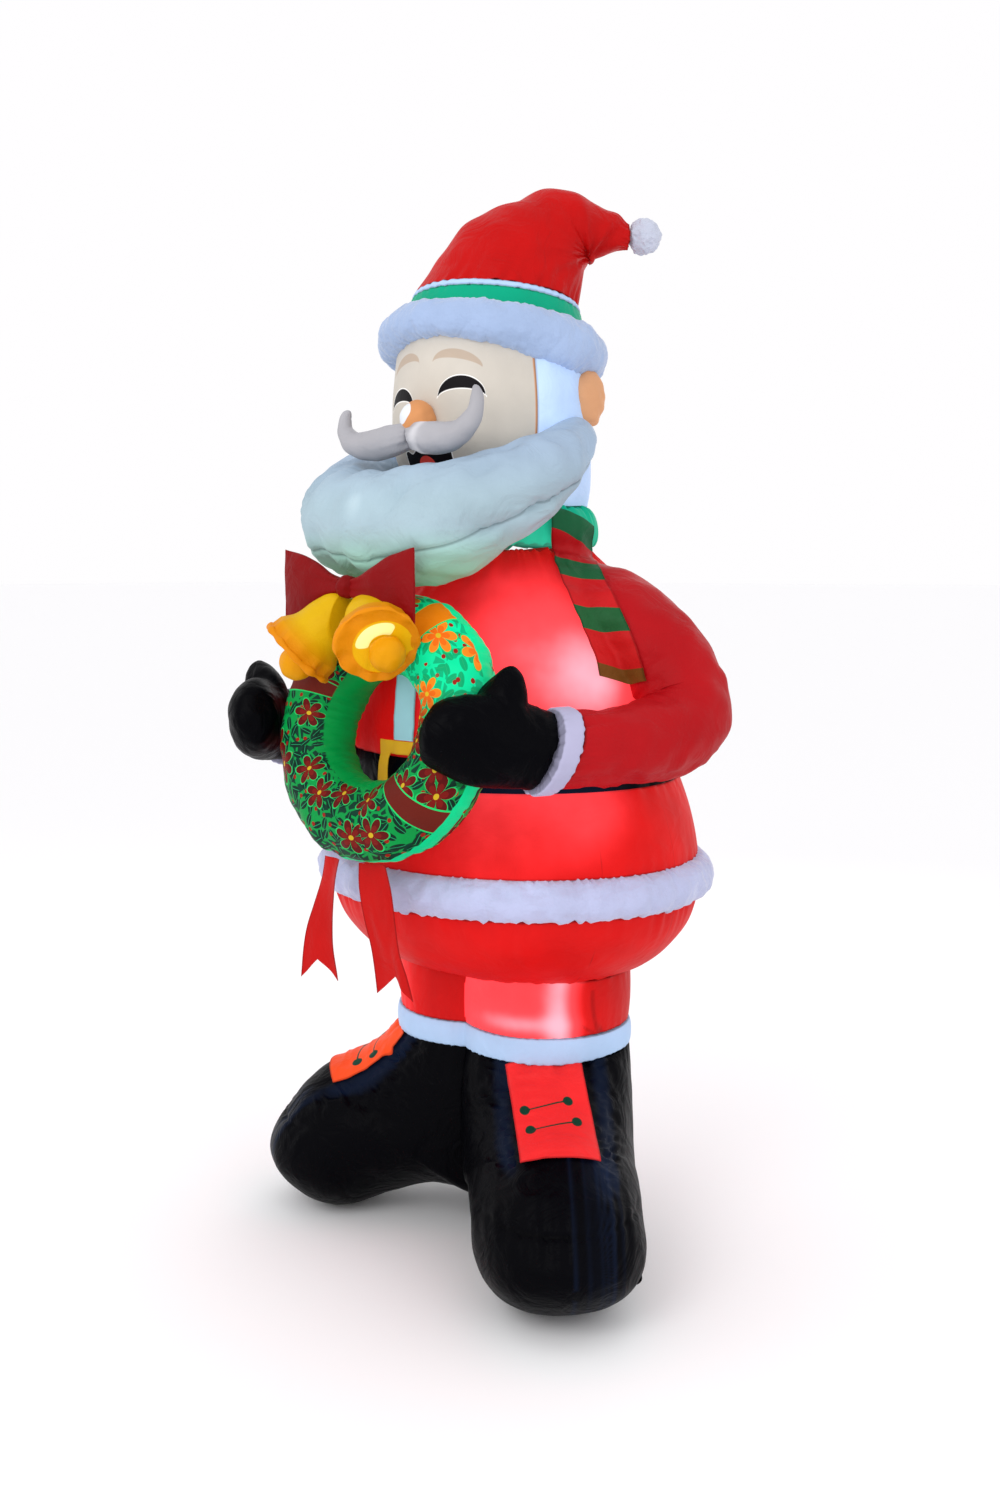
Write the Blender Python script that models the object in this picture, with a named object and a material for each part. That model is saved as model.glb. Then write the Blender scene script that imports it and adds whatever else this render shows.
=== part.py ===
"""A blow-up yard figure of a bearded man in a red suit, who holds a wreath with bells.

Every sewn fabric chamber is one closed solid. The figure faces -Y, its left hand is at +X, and it
stands on the soles of its boots. All sizes are in metres, at the size of the real figure.
"""

import math

import bmesh
import bpy
from mathutils import Vector
from mathutils.bvhtree import BVHTree

# Heights of the level seams, from the soles up
BOOT_TOP = 0.450
TROUSER_CUFF_TOP = 0.510
COAT_BOTTOM = 0.620
HEM_BOTTOM = 0.832
HEM_TOP = 0.925
BELT_BOTTOM = 1.105
BELT_TOP = 1.170
COLLAR_BOTTOM = 1.630
COLLAR_TOP = 1.725

# Gaps, puffs and cloth
SEAM_GAP = 0.0005
CONTACT_GAP = 0.0008
HEM_PUFF = 0.030
TROUSER_CUFF_PUFF = 0.010
COLLAR_PUFF = 0.022
CLOTH = 0.003
CLOTH_LIFT = 0.004

# The coat's outline: height, half width, half depth
COAT_OUTLINE = (
    (0.620, 0.300, 0.225),
    (0.650, 0.352, 0.280),
    (0.700, 0.398, 0.330),
    (0.770, 0.440, 0.378),
    (0.860, 0.462, 0.406),
    (0.930, 0.456, 0.404),
    (1.020, 0.430, 0.390),
    (1.110, 0.400, 0.372),
    (1.170, 0.392, 0.366),
    (1.280, 0.386, 0.356),
    (1.380, 0.364, 0.336),
    (1.480, 0.316, 0.294),
    (1.560, 0.256, 0.240),
    (1.630, 0.185, 0.180),
)

# The head's outline: height, half width, half depth, how far the middle stands forward
HEAD_OUTLINE = (
    (1.725, 0.182, 0.178, 0.015),
    (1.770, 0.208, 0.206, 0.048),
    (1.840, 0.222, 0.222, 0.075),
    (1.940, 0.224, 0.224, 0.080),
    (2.060, 0.214, 0.214, 0.078),
    (2.160, 0.204, 0.204, 0.068),
)
FACE_SEAM_FORWARD = 0.168
EAR_PLACE = Vector((0.214, 0.000, 1.960))
EAR_HALF_SIZE = (0.034, 0.046, 0.064)
NOSE_PLACE = Vector((0, -0.318, 1.908))
NOSE_HALF_SIZE = (0.038, 0.040, 0.044)

# The legs and boots
LEG_RADIUS = 0.200
LEG_OFFSET = 0.100
HEEL_BACK = 0.141
FOOT_SPLAY = {"left": math.radians(44), "right": math.radians(56)}
ANKLE_FRONT = 0.341
TOE_TIP = 0.672
TOE_REACH = {"left": 0.045, "right": 0.010}
TONGUE_TOP_OUT = 0.328
TONGUE_BOTTOM_OUT = {"left": 0.540, "right": 0.500}
TONGUE_TOP = 0.430
TONGUE_FALL = 0.6
TONGUE_DROP = 0.3
TONGUE_STEPS = 5
TONGUE_HALF_WIDTH = 0.086
TONGUE_LIFT = 0.007
TETHER_PLACE = (0.590, 0.150, 0.100)
TETHER_RADIUS = 0.016
TETHER_CORD = 0.003

# The hat leans back, and its heights are measured along the lean
HAT_FOOT = Vector((0, -0.080, 2.030))
HAT_LEAN = math.radians(7)
BRIM_RADIUS = 0.212
BRIM_HALF_WIDTH = 0.048
BRIM_TOP = 0.100
BRIM_HALF_HEIGHT = 0.058
BRIM_FRONT_LIFT = 0.016
BRIM_FRONT_RISE = 0.006
HAT_TOP_OF_HEAD = 0.070
GREEN_BAND_TOP = 0.140
WHITE_BAND_TOP = 0.155
GREEN_BAND_RADIUS = 0.206
WHITE_BAND_RADIUS = 0.192
CONE_RADIUS = 0.185
CONE_TURN = math.radians(39)
POMPOM_OUT = 0.334
POMPOM_HEIGHT = 2.326
POMPOM_RADIUS = 0.038

# The wreath and what hangs on it
WREATH_PLACE = Vector((0.014, -0.444, 1.244))
WREATH_LEAN = math.radians(15)
WREATH_RADIUS = 0.205
WREATH_TUBE = 0.088
WREATH_TUBE_DEPTH = 0.080
BOW_PLACE = Vector((-0.030, -0.512, 1.545))
BOW_HALF_WIDTH = 0.192
BOW_HALF_HEIGHT = 0.080
BOW_HALF_THICKNESS = 0.018
KNOT_HALF_SIZE = (0.024, 0.026, 0.026)
BELL_KNOT = Vector((-0.030, -0.480, 1.530))
BELL_WAY = Vector((0.68, -0.53, -0.50))
BELL_LENGTH = 0.175
BELL_RADIUS = 0.090
BELL_LIP = 0.018
BELL_RECESS = 0.008
CLAPPER_RADIUS = 0.038
RIBBON_TOP = 0.962
RIBBON_FORWARD = 0.520
RIBBON_NOTCH = 0.045

# The arms: the wrist's cuff and the seams between its pieces
CUFF_LENGTH = 0.050
CUFF_RADIUS = 0.090
CUFF_FLATTER = 0.006
CUFF_EDGE = 0.006
CUFF_ROLL = 0.012
WRIST_HALF_SIZE = (0.066, 0.076)

# The scarf's hanging end and the belt's buckle
SCARF_HALF_WIDTH = 0.050
SCARF_LIFT = 0.012
PLACKET_HALF_WIDTH = 0.030
PLACKET_TOP = 1.330
BUCKLE_HALF_WIDTH = 0.066
BUCKLE_BAR = 0.030
BUCKLE_OVERLAP = 0.036
STRIP_INSET = 0.002
HEM_CLEAR = 0.012
FRONT_START = 0.9

RED = (0.72, 0.03, 0.03)
DARK_RED = (0.36, 0.01, 0.02)
WHITE = (0.80, 0.84, 0.92)
BLACK = (0.010, 0.010, 0.014)
CREAM = (0.86, 0.78, 0.66)
SKIN = (0.80, 0.42, 0.18)
GREY = (0.42, 0.48, 0.52)
GREEN = (0.0, 0.35, 0.20)
GOLD = (0.88, 0.50, 0.03)
SCARF_RED = (0.42, 0.02, 0.03)
SIDES = {"left": 1, "right": -1}

X = Vector((1, 0, 0))
Y = Vector((0, 1, 0))
Z = Vector((0, 0, 1))


def clear_scene():
    for thing in list(bpy.data.objects):
        bpy.data.objects.remove(thing)


def cloth_material(name, colour):
    material = bpy.data.materials.new(name)
    material.use_nodes = True
    shader = material.node_tree.nodes["Principled BSDF"]
    shader.inputs["Base Color"].default_value = (*colour, 1)
    shader.inputs["Roughness"].default_value = 0.55
    shader.inputs["Metallic"].default_value = 0.0
    return material


def add_piece(name, work, colour):
    """Makes an object of a bmesh, with outward faces and its own material, as a part of the figure."""
    bmesh.ops.recalc_face_normals(work, faces=work.faces)
    mesh = bpy.data.meshes.new(name)
    work.to_mesh(mesh)
    work.free()
    mesh.shade_smooth()
    mesh.set_sharp_from_angle(angle=math.radians(50))
    piece = bpy.data.objects.new(name, mesh)
    piece.data.materials.append(cloth_material(name, colour))
    piece.parent = figure
    bpy.context.scene.collection.objects.link(piece)
    return piece


def between(stations, steps):
    """Points on a smooth curve through rows of numbers, with some steps from each row to the next."""
    last = len(stations) - 1
    curve = []
    for i in range(last):
        rows = (stations[max(i - 1, 0)], stations[i], stations[i + 1], stations[min(i + 2, last)])
        for step in range(steps):
            t = step / steps
            row = []
            for a, b, c, d in zip(*rows):
                curl = 2 * a - 5 * b + 4 * c - d
                twist = 3 * b - a - 3 * c + d
                row.append(0.5 * (2 * b + (c - a) * t + curl * t**2 + twist * t**3))
            curve.append(tuple(row))
    curve.append(tuple(stations[-1]))
    return curve


def at_height(outline, height):
    """The row of an outline at a height, read from straight lines between its rows."""
    if height <= outline[0][0]:
        return (height, *outline[0][1:])
    for low, high in zip(outline, outline[1:]):
        if height <= high[0]:
            share = (height - low[0]) / (high[0] - low[0])
            return tuple(a + (b - a) * share for a, b in zip(low, high))
    return (height, *outline[-1][1:])


def oval(centre, across, along, half_across, half_along, count):
    """A ring of points round a centre."""
    points = []
    for i in range(count):
        angle = 2 * math.pi * i / count
        x = math.cos(angle) * half_across
        y = math.sin(angle) * half_along
        points.append(Vector(centre) + across * x + along * y)
    return points


def skin(rings, looped=False):
    """A closed bmesh over rings of points. Its ends are flat faces, or meet each other if looped."""
    work = bmesh.new()
    rows = [[work.verts.new(point) for point in ring] for ring in rings]
    pairs = list(zip(rows, rows[1:]))
    if looped:
        pairs.append((rows[-1], rows[0]))
    for low, high in pairs:
        for i in range(len(low)):
            j = (i + 1) % len(low)
            work.faces.new((low[i], low[j], high[j], high[i]))
    if not looped:
        work.faces.new(list(reversed(rows[0])))
        work.faces.new(rows[-1])
    return work


def level_rings(rows, count):
    """Level ovals from rows of height, half width and half depth, and perhaps how far forward."""
    rings = []
    for height, half_width, half_depth, *forward in rows:
        centre = Vector((0, -(forward[0] if forward else 0.0), height))
        rings.append(oval(centre, X, Y, half_width, half_depth, count))
    return rings


def panel_rows(outline, low, high, steps, puff=0.0):
    """The rows of an outline between two seams, pushed out by a puff halfway."""
    smooth = between(outline, 4)
    rows = []
    for i in range(steps + 1):
        share = i / steps
        row = at_height(smooth, low + (high - low) * share)
        out = puff * math.sqrt(max(0.0, 1 - (2 * share - 1) ** 2))
        rows.append((row[0], row[1] + out, row[2] + out, *row[3:]))
    return rows


def sweep(path, count, up=Z, carried=False):
    """Rings along a path whose rows hold x, y, z, half width across and half height.

    The width lies square to the up direction, or is carried from ring to ring without a twist.
    """
    rings = []
    for i, row in enumerate(path):
        ahead = Vector(path[min(i + 1, len(path) - 1)][:3])
        behind = Vector(path[max(i - 1, 0)][:3])
        forward = (ahead - behind).normalized()
        if carried and rings:
            across = (across - forward * across.dot(forward)).normalized()
        else:
            across = forward.cross(up).normalized()
        rings.append(oval(Vector(row[:3]), across, across.cross(forward), row[3], row[4], count))
    return rings


def ball(centre, half_size, rows, count):
    """A closed ovoid, from its lower pole to its upper one, as a stack of rings."""
    stack = []
    for i in range(1, rows):
        angle = math.pi * i / rows
        ring = math.sin(angle)
        height = centre.z - half_size[2] * math.cos(angle)
        middle = (centre.x, centre.y, height)
        stack.append(oval(middle, X, Y, half_size[0] * ring, half_size[1] * ring, count))
    return skin(stack)


def keep_side(work, point, normal):
    """Cuts a bmesh along a plane, keeps the side that the normal points to, and closes it."""
    everything = work.verts[:] + work.edges[:] + work.faces[:]
    cut = bmesh.ops.bisect_plane(
        work, geom=everything, plane_co=point, plane_no=normal, clear_inner=True, dist=1e-6
    )
    edges = [e for e in cut["geom_cut"] if isinstance(e, bmesh.types.BMEdge)]
    bmesh.ops.edgenet_fill(work, edges=edges)
    return work


def on_side(rows, side):
    """Path rows with x turned to the side asked for, which is 1 or -1."""
    return [(row[0] * side, *row[1:]) for row in rows]


def hidden_copy(piece, name):
    guide = piece.copy()
    guide.name = name
    guide.hide_render = True
    guide.display_type = "WIRE"
    for modifier in list(guide.modifiers):
        guide.modifiers.remove(modifier)
    bpy.context.scene.collection.objects.link(guide)
    return guide


def combine(piece, guide, operation, name):
    change = piece.modifiers.new(name, "BOOLEAN")
    change.operation = operation
    change.solver = "EXACT"
    change.object = guide


def cut_by(piece, *neighbours):
    """Cuts a piece back from its neighbours, a little clear of them."""
    for neighbour in neighbours:
        guide = hidden_copy(neighbour, f"cutter_{piece.name}_{neighbour.name}")
        grow = guide.modifiers.new("grow", "DISPLACE")
        grow.mid_level = 0.0
        grow.strength = CONTACT_GAP
        combine(piece, guide, "DIFFERENCE", f"clear_of_{neighbour.name}")


def surface_of(*pieces):
    """A search tree over the pieces as they are before Booleans, in the figure's frame."""
    points, faces = [], []
    for piece in pieces:
        first = len(points)
        points += [vertex.co.copy() for vertex in piece.data.vertices]
        faces += [[first + i for i in face.vertices] for face in piece.data.polygons]
    return BVHTree.FromPolygons(points, faces)


def cloth_slab(outer, inner, kept):
    """A thin closed slab between two grids of points, over the cells for which kept is true."""
    work = bmesh.new()
    grids = [{}, {}]
    sides = {}

    def corner(layer, i, j):
        if (i, j) not in grids[layer]:
            grids[layer][i, j] = work.verts.new((outer, inner)[layer][i][j])
        return grids[layer][i, j]

    for i in range(len(outer) - 1):
        for j in range(len(outer[0]) - 1):
            if not kept(i, j):
                continue
            cell = [(i, j), (i + 1, j), (i + 1, j + 1), (i, j + 1)]
            for half in (cell[:3], [cell[0], *cell[2:]]):
                work.faces.new([corner(0, *at) for at in half])
                work.faces.new([corner(1, *at) for at in reversed(half)])
            for start, end in zip(cell, cell[1:] + cell[:1]):
                if (end, start) in sides:
                    del sides[end, start]
                else:
                    sides[start, end] = True
    for start, end in sides:
        work.faces.new((corner(0, *end), corner(0, *start), corner(1, *start), corner(1, *end)))
    return work


def laid_on(surface, starts, direction, kept=lambda i, j: True, lift=CLOTH_LIFT):
    """A cloth slab over a grid of start points, each dropped onto a surface along a direction."""
    way = Vector(direction).normalized()
    outer, inner = [], []
    for row in starts:
        touched = []
        for start in row:
            hit = surface.ray_cast(start, way)[0]
            touched.append(hit if hit else start)
        outer.append([point - way * (lift + CLOTH) for point in touched])
        inner.append([point - way * lift for point in touched])
    return cloth_slab(outer, inner, kept)


def bent_rings(rows, foot, ahead, across, count):
    """Slanting rings in one bend plane: a row has two opposite points as out and height, and a half width."""
    rings = []
    for out_a, height_a, out_b, height_b, half_width in rows:
        one = foot + ahead * out_a + Z * height_a
        other = foot + ahead * out_b + Z * height_b
        along = (one - other) / 2
        rings.append(oval((one + other) / 2, across, along.normalized(), half_width, along.length, count))
    return rings


# One boot from its side: out and height of the instep and of the sole, and the half width
BOOT_ROWS = (
    (0.341, 0.450, -0.059, 0.450, 0.200),
    (0.372, 0.425, -0.078, 0.372, 0.204),
    (0.402, 0.402, -0.088, 0.270, 0.206),
    (0.432, 0.386, -0.080, 0.165, 0.205),
    (0.462, 0.374, -0.045, 0.070, 0.202),
    (0.492, 0.362, 0.030, 0.005, 0.199),
    (0.520, 0.350, 0.130, -0.009, 0.196),
    (0.545, 0.335, 0.240, -0.009, 0.194),
    (0.570, 0.315, 0.350, -0.009, 0.192),
    (0.600, 0.285, 0.450, -0.006, 0.186),
    (0.630, 0.245, 0.530, 0.004, 0.166),
    (0.655, 0.205, 0.595, 0.035, 0.130),
    (0.672, 0.170, 0.640, 0.075, 0.075),
)


def foot_frame(word, side):
    """The heel corner, the way the foot points, and the way across it."""
    splay = FOOT_SPLAY[word]
    ahead = Vector((side * math.sin(splay), -math.cos(splay), 0))
    heel = X * side * LEG_OFFSET - ahead * HEEL_BACK
    return heel, ahead, Vector((-ahead.y, ahead.x, 0))


def reach_on(rows, reach):
    """Boot rows with the foot drawn out past the ankle, most of all at the toe."""
    drawn = []
    for out_a, height_a, out_b, height_b, half_width in rows:
        shares = [min(max(0.0, (out - ANKLE_FRONT) / (TOE_TIP - ANKLE_FRONT)), 1.0) for out in (out_a, out_b)]
        drawn.append((out_a + reach * shares[0], height_a, out_b + reach * shares[1], height_b, half_width))
    return drawn


def make_boot(word, side):
    heel, ahead, across = foot_frame(word, side)
    rows = reach_on(BOOT_ROWS, TOE_REACH[word])
    work = skin(bent_rings(rows, heel, ahead, across, 20))
    keep_side(work, Vector(), Z)
    keep_side(work, X * side * SEAM_GAP / 2, X * side)
    boot = add_piece(f"boot_{word}", work, BLACK)

    drop = -(ahead + Z).normalized()
    starts = []
    for i in range(TONGUE_STEPS + 1):
        out = (TONGUE_BOTTOM_OUT[word] - TONGUE_TOP_OUT) * i / TONGUE_STEPS
        spine = heel + ahead * (TONGUE_TOP_OUT + out) + Z * (TONGUE_TOP - out * TONGUE_FALL)
        row = [spine + across * TONGUE_HALF_WIDTH * (j / 2 - 1) for j in range(5)]
        starts.append([point - drop * TONGUE_DROP for point in row])
    work = laid_on(surface_of(boot), starts, drop, lift=TONGUE_LIFT)
    add_piece(f"boot_tongue_{word}", work, RED)
    return boot


def make_tether(boot):
    heel, ahead, across = foot_frame("left", 1)
    place = heel + ahead * TETHER_PLACE[0] + across * TETHER_PLACE[1] + Z * TETHER_PLACE[2]
    out = (ahead * 0.5 + across).normalized()
    path = []
    for i in range(9):
        angle = math.pi * (i / 8 - 0.5) * 1.1
        point = place + out * TETHER_RADIUS * math.cos(angle) + Z * TETHER_RADIUS * math.sin(angle)
        path.append((*point, TETHER_CORD, TETHER_CORD))
    loop = add_piece("tether_loop", skin(sweep(path, 6, up=ahead)), BLACK)
    cut_by(loop, boot)


def two_leg_ring(height, radius, count):
    """A ring round two legs that touch: two circles joined where they overlap."""
    ring = []
    for i in range(count):
        angle = 2 * math.pi * i / count
        reach = LEG_OFFSET * abs(math.cos(angle))
        reach += math.sqrt(radius**2 - (LEG_OFFSET * math.sin(angle)) ** 2)
        ring.append(Vector((reach * math.cos(angle), reach * math.sin(angle), height)))
    return ring


def make_legs():
    panels = (
        ("trouser_cuff", BOOT_TOP, TROUSER_CUFF_TOP, TROUSER_CUFF_PUFF, WHITE),
        ("trousers", TROUSER_CUFF_TOP, COAT_BOTTOM, 0.0, RED),
    )
    for name, low, high, puff, colour in panels:
        tube = ((low, LEG_RADIUS, LEG_RADIUS), (high, LEG_RADIUS, LEG_RADIUS))
        rows = panel_rows(tube, low + SEAM_GAP, high, 4 if puff else 1, puff)
        add_piece(name, skin([two_leg_ring(row[0], row[1], 32) for row in rows]), colour)


def make_coat():
    panels = (
        ("coat_skirt", COAT_BOTTOM, HEM_BOTTOM, 0.0, RED, 5),
        ("hem_trim", HEM_BOTTOM, HEM_TOP, HEM_PUFF, WHITE, 6),
        ("coat_lower", HEM_TOP, BELT_BOTTOM, 0.0, RED, 3),
        ("belt", BELT_BOTTOM, BELT_TOP, 0.0, BLACK, 1),
        ("coat_upper", BELT_TOP, COLLAR_BOTTOM, 0.0, RED, 7),
    )
    made = {}
    for name, low, high, puff, colour, steps in panels:
        rows = panel_rows(COAT_OUTLINE, low + SEAM_GAP, high, steps, puff)
        made[name] = add_piece(name, skin(level_rings(rows, 24)), colour)
    band = ((*at_height(COAT_OUTLINE, COLLAR_BOTTOM), 0.0), at_height(HEAD_OUTLINE, COLLAR_TOP))
    rows = panel_rows(band, COLLAR_BOTTOM + SEAM_GAP, COLLAR_TOP, 5, COLLAR_PUFF)
    made["scarf_collar"] = add_piece("scarf_collar", skin(level_rings(rows, 22)), GREEN)
    return made


def front_strip(surface, low, high, half_width, steps):
    """A strip down the middle of the front, laid on the coat."""
    starts = []
    for i in range(steps + 1):
        height = low + (high - low) * i / steps
        starts.append([Vector((half_width * j, -FRONT_START, height)) for j in (-1, 0, 1)])
    return laid_on(surface, starts, Y)


def make_front_trim(coat):
    surface = surface_of(coat["coat_upper"], coat["belt"], coat["coat_lower"])
    low, high = BELT_BOTTOM - BUCKLE_OVERLAP, BELT_TOP + BUCKLE_OVERLAP
    strips = (
        ("placket_upper", high + STRIP_INSET, PLACKET_TOP),
        ("placket_lower", HEM_TOP + HEM_CLEAR, low - STRIP_INSET),
    )
    for name, bottom, top in strips:
        add_piece(name, front_strip(surface, bottom, top, PLACKET_HALF_WIDTH, 3), WHITE)

    window = BUCKLE_HALF_WIDTH - BUCKLE_BAR
    columns = (-BUCKLE_HALF_WIDTH, -window, 0, window, BUCKLE_HALF_WIDTH)
    levels = (low, low + BUCKLE_BAR, BELT_BOTTOM, BELT_TOP, high - BUCKLE_BAR, high)
    starts = [[Vector((x, -FRONT_START, z)) for x in columns] for z in levels]
    frame = laid_on(surface, starts, Y, kept=lambda i, j: i in (0, 4) or j in (0, 3))
    add_piece("belt_buckle", frame, GOLD)


def hat_frame():
    """The hat's up direction, and the direction to its back that lies in its own plane."""
    up = Vector((0, math.sin(HAT_LEAN), math.cos(HAT_LEAN)))
    return up, up.cross(X)


def hat_stack(rows, count):
    """Rings square to the hat's lean, from rows of height along it and radius."""
    up, back = hat_frame()
    return [oval(HAT_FOOT + up * height, X, back, radius, radius, count) for height, radius in rows]


def make_head():
    """The head in two halves, and a guide of the whole head to cut what lies on it."""
    up, back = hat_frame()
    rows = panel_rows(HEAD_OUTLINE, COLLAR_TOP + SEAM_GAP, HEAD_OUTLINE[-1][0], 8)
    made = {}
    for name, forward, colour in (("head_guide", 0, WHITE), ("head", -1, WHITE), ("face_panel", 1, CREAM)):
        work = skin(level_rings(rows, 24))
        keep_side(work, HAT_FOOT + up * HAT_TOP_OF_HEAD, -up)
        if forward:
            seam = -Y * (FACE_SEAM_FORWARD + forward * SEAM_GAP / 2)
            keep_side(work, seam, -Y * forward)
        made[name] = add_piece(name, work, colour)
    whole = made["head_guide"]
    whole.hide_render = True
    whole.display_type = "WIRE"
    nose = add_piece("nose", ball(NOSE_PLACE, NOSE_HALF_SIZE, 6, 10), SKIN)
    cut_by(nose, whole)
    return whole, nose


def make_ears(whole_head, brim):
    for word, side in SIDES.items():
        place = Vector((EAR_PLACE.x * side, EAR_PLACE.y, EAR_PLACE.z))
        ear = add_piece(f"ear_{word}", ball(place, EAR_HALF_SIZE, 6, 10), SKIN)
        cut_by(ear, whole_head, brim)


# The cone in its bend plane: out and height of its back outline and of its front one, and the half width.
# Heights start at the cone's foot.
CONE_ROWS = (
    (-0.156, 0.054, 0.192, 0.041, 0.172),
    (-0.124, 0.100, 0.197, 0.078, 0.160),
    (-0.080, 0.157, 0.203, 0.092, 0.145),
    (-0.008, 0.200, 0.212, 0.098, 0.125),
    (0.066, 0.231, 0.222, 0.104, 0.105),
    (0.127, 0.242, 0.236, 0.109, 0.085),
    (0.188, 0.228, 0.255, 0.113, 0.065),
    (0.249, 0.196, 0.275, 0.115, 0.045),
    (0.298, 0.166, 0.297, 0.114, 0.028),
)


def make_hat(whole_head):
    up, back = hat_frame()
    rings = []
    for i in range(24):
        angle = 2 * math.pi * i / 24
        out = X * math.cos(angle) + back * math.sin(angle)
        front = max(0.0, -out.y) ** 2
        half_height = BRIM_HALF_HEIGHT - BRIM_FRONT_LIFT * front
        lift = BRIM_TOP - half_height + BRIM_FRONT_RISE * front
        centre = HAT_FOOT + up * lift + out * BRIM_RADIUS
        rings.append(oval(centre, out, up, BRIM_HALF_WIDTH, half_height, 10))
    brim = add_piece("hat_brim", skin(rings, looped=True), WHITE)

    bands = (
        ("hat_band_green", HAT_TOP_OF_HEAD, GREEN_BAND_TOP, GREEN_BAND_RADIUS, WHITE_BAND_RADIUS, GREEN),
        ("hat_band_white", GREEN_BAND_TOP, WHITE_BAND_TOP, WHITE_BAND_RADIUS, CONE_RADIUS, WHITE),
    )
    made = {}
    for name, low, high, low_radius, high_radius, colour in bands:
        rows = ((low + SEAM_GAP, low_radius), (high, high_radius))
        made[name] = add_piece(name, skin(hat_stack(rows, 24)), colour)
    cut_by(brim, whole_head, made["hat_band_green"])

    foot = HAT_FOOT + up * (WHITE_BAND_TOP + SEAM_GAP)
    ahead = Vector((math.cos(CONE_TURN), math.sin(CONE_TURN), 0))
    across = Vector((-ahead.y, ahead.x, 0))
    slope = (ahead - up * ahead.dot(up)).normalized()
    side = up.cross(slope).normalized()
    rings = [oval(foot, side, -slope, CONE_RADIUS, CONE_RADIUS, 18)]
    rings += bent_rings(CONE_ROWS, foot, ahead, across, 18)
    cone = add_piece("hat_cone", skin(rings), RED)
    centre = foot + ahead * POMPOM_OUT
    centre.z = POMPOM_HEIGHT
    pompom = add_piece("hat_pompom", ball(centre, (POMPOM_RADIUS,) * 3, 6, 10), WHITE)
    cut_by(pompom, cone)
    return brim


# The middle line of each chamber: x, y, z, half width across and half height, at the figure's left side
BEARD_HALF = (
    (0.000, -0.388, 1.668, 0.118, 0.120),
    (0.134, -0.366, 1.680, 0.114, 0.114),
    (0.230, -0.278, 1.726, 0.097, 0.100),
    (0.256, -0.168, 1.788, 0.074, 0.080),
    (0.240, -0.078, 1.852, 0.050, 0.056),
    (0.222, -0.040, 1.890, 0.022, 0.026),
)
MOUSTACHE = (
    (0.000, -0.336, 1.868, 0.026, 0.026),
    (0.040, -0.352, 1.862, 0.034, 0.036),
    (0.095, -0.358, 1.856, 0.034, 0.038),
    (0.150, -0.358, 1.866, 0.026, 0.030),
    (0.184, -0.352, 1.900, 0.018, 0.020),
    (0.188, -0.346, 1.938, 0.013, 0.014),
    (0.176, -0.340, 1.962, 0.007, 0.007),
)


def make_beard(whole_head, nose, coat):
    half = between(BEARD_HALF, 2)
    path = on_side(reversed(half[1:]), -1) + half
    beard = add_piece("beard", skin(sweep(path, 12)), GREY)
    cut_by(beard, whole_head, coat["scarf_collar"], coat["coat_upper"])
    for word, side in SIDES.items():
        work = skin(sweep(on_side(MOUSTACHE, side), 9, up=Y))
        keep_side(work, X * side * SEAM_GAP / 2, X * side)
        moustache = add_piece(f"moustache_{word}", work, GREY)
        cut_by(moustache, nose, whole_head, beard)
    return beard


SLEEVE = (
    (0.150, 0.000, 1.505, 0.100, 0.098),
    (0.262, 0.008, 1.480, 0.113, 0.108),
    (0.354, 0.022, 1.426, 0.110, 0.106),
    (0.424, 0.036, 1.356, 0.104, 0.101),
    (0.468, 0.026, 1.286, 0.099, 0.098),
    (0.486, -0.022, 1.234, 0.096, 0.096),
    (0.482, -0.090, 1.210, 0.092, 0.093),
    (0.456, -0.180, 1.205, 0.086, 0.088),
    (0.420, -0.272, 1.210, 0.080, 0.082),
)
MITTEN = (
    (0.386, -0.352, 1.218, 0.062, 0.074),
    (0.356, -0.415, 1.226, 0.068, 0.090),
    (0.320, -0.478, 1.236, 0.066, 0.094),
    (0.276, -0.540, 1.250, 0.056, 0.080),
    (0.234, -0.574, 1.264, 0.042, 0.058),
    (0.212, -0.586, 1.270, 0.018, 0.028),
)
THUMB = (
    (0.350, -0.425, 1.240, 0.034, 0.030),
    (0.348, -0.420, 1.310, 0.036, 0.034),
    (0.346, -0.416, 1.352, 0.028, 0.026),
    (0.345, -0.414, 1.382, 0.010, 0.010),
)


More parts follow.
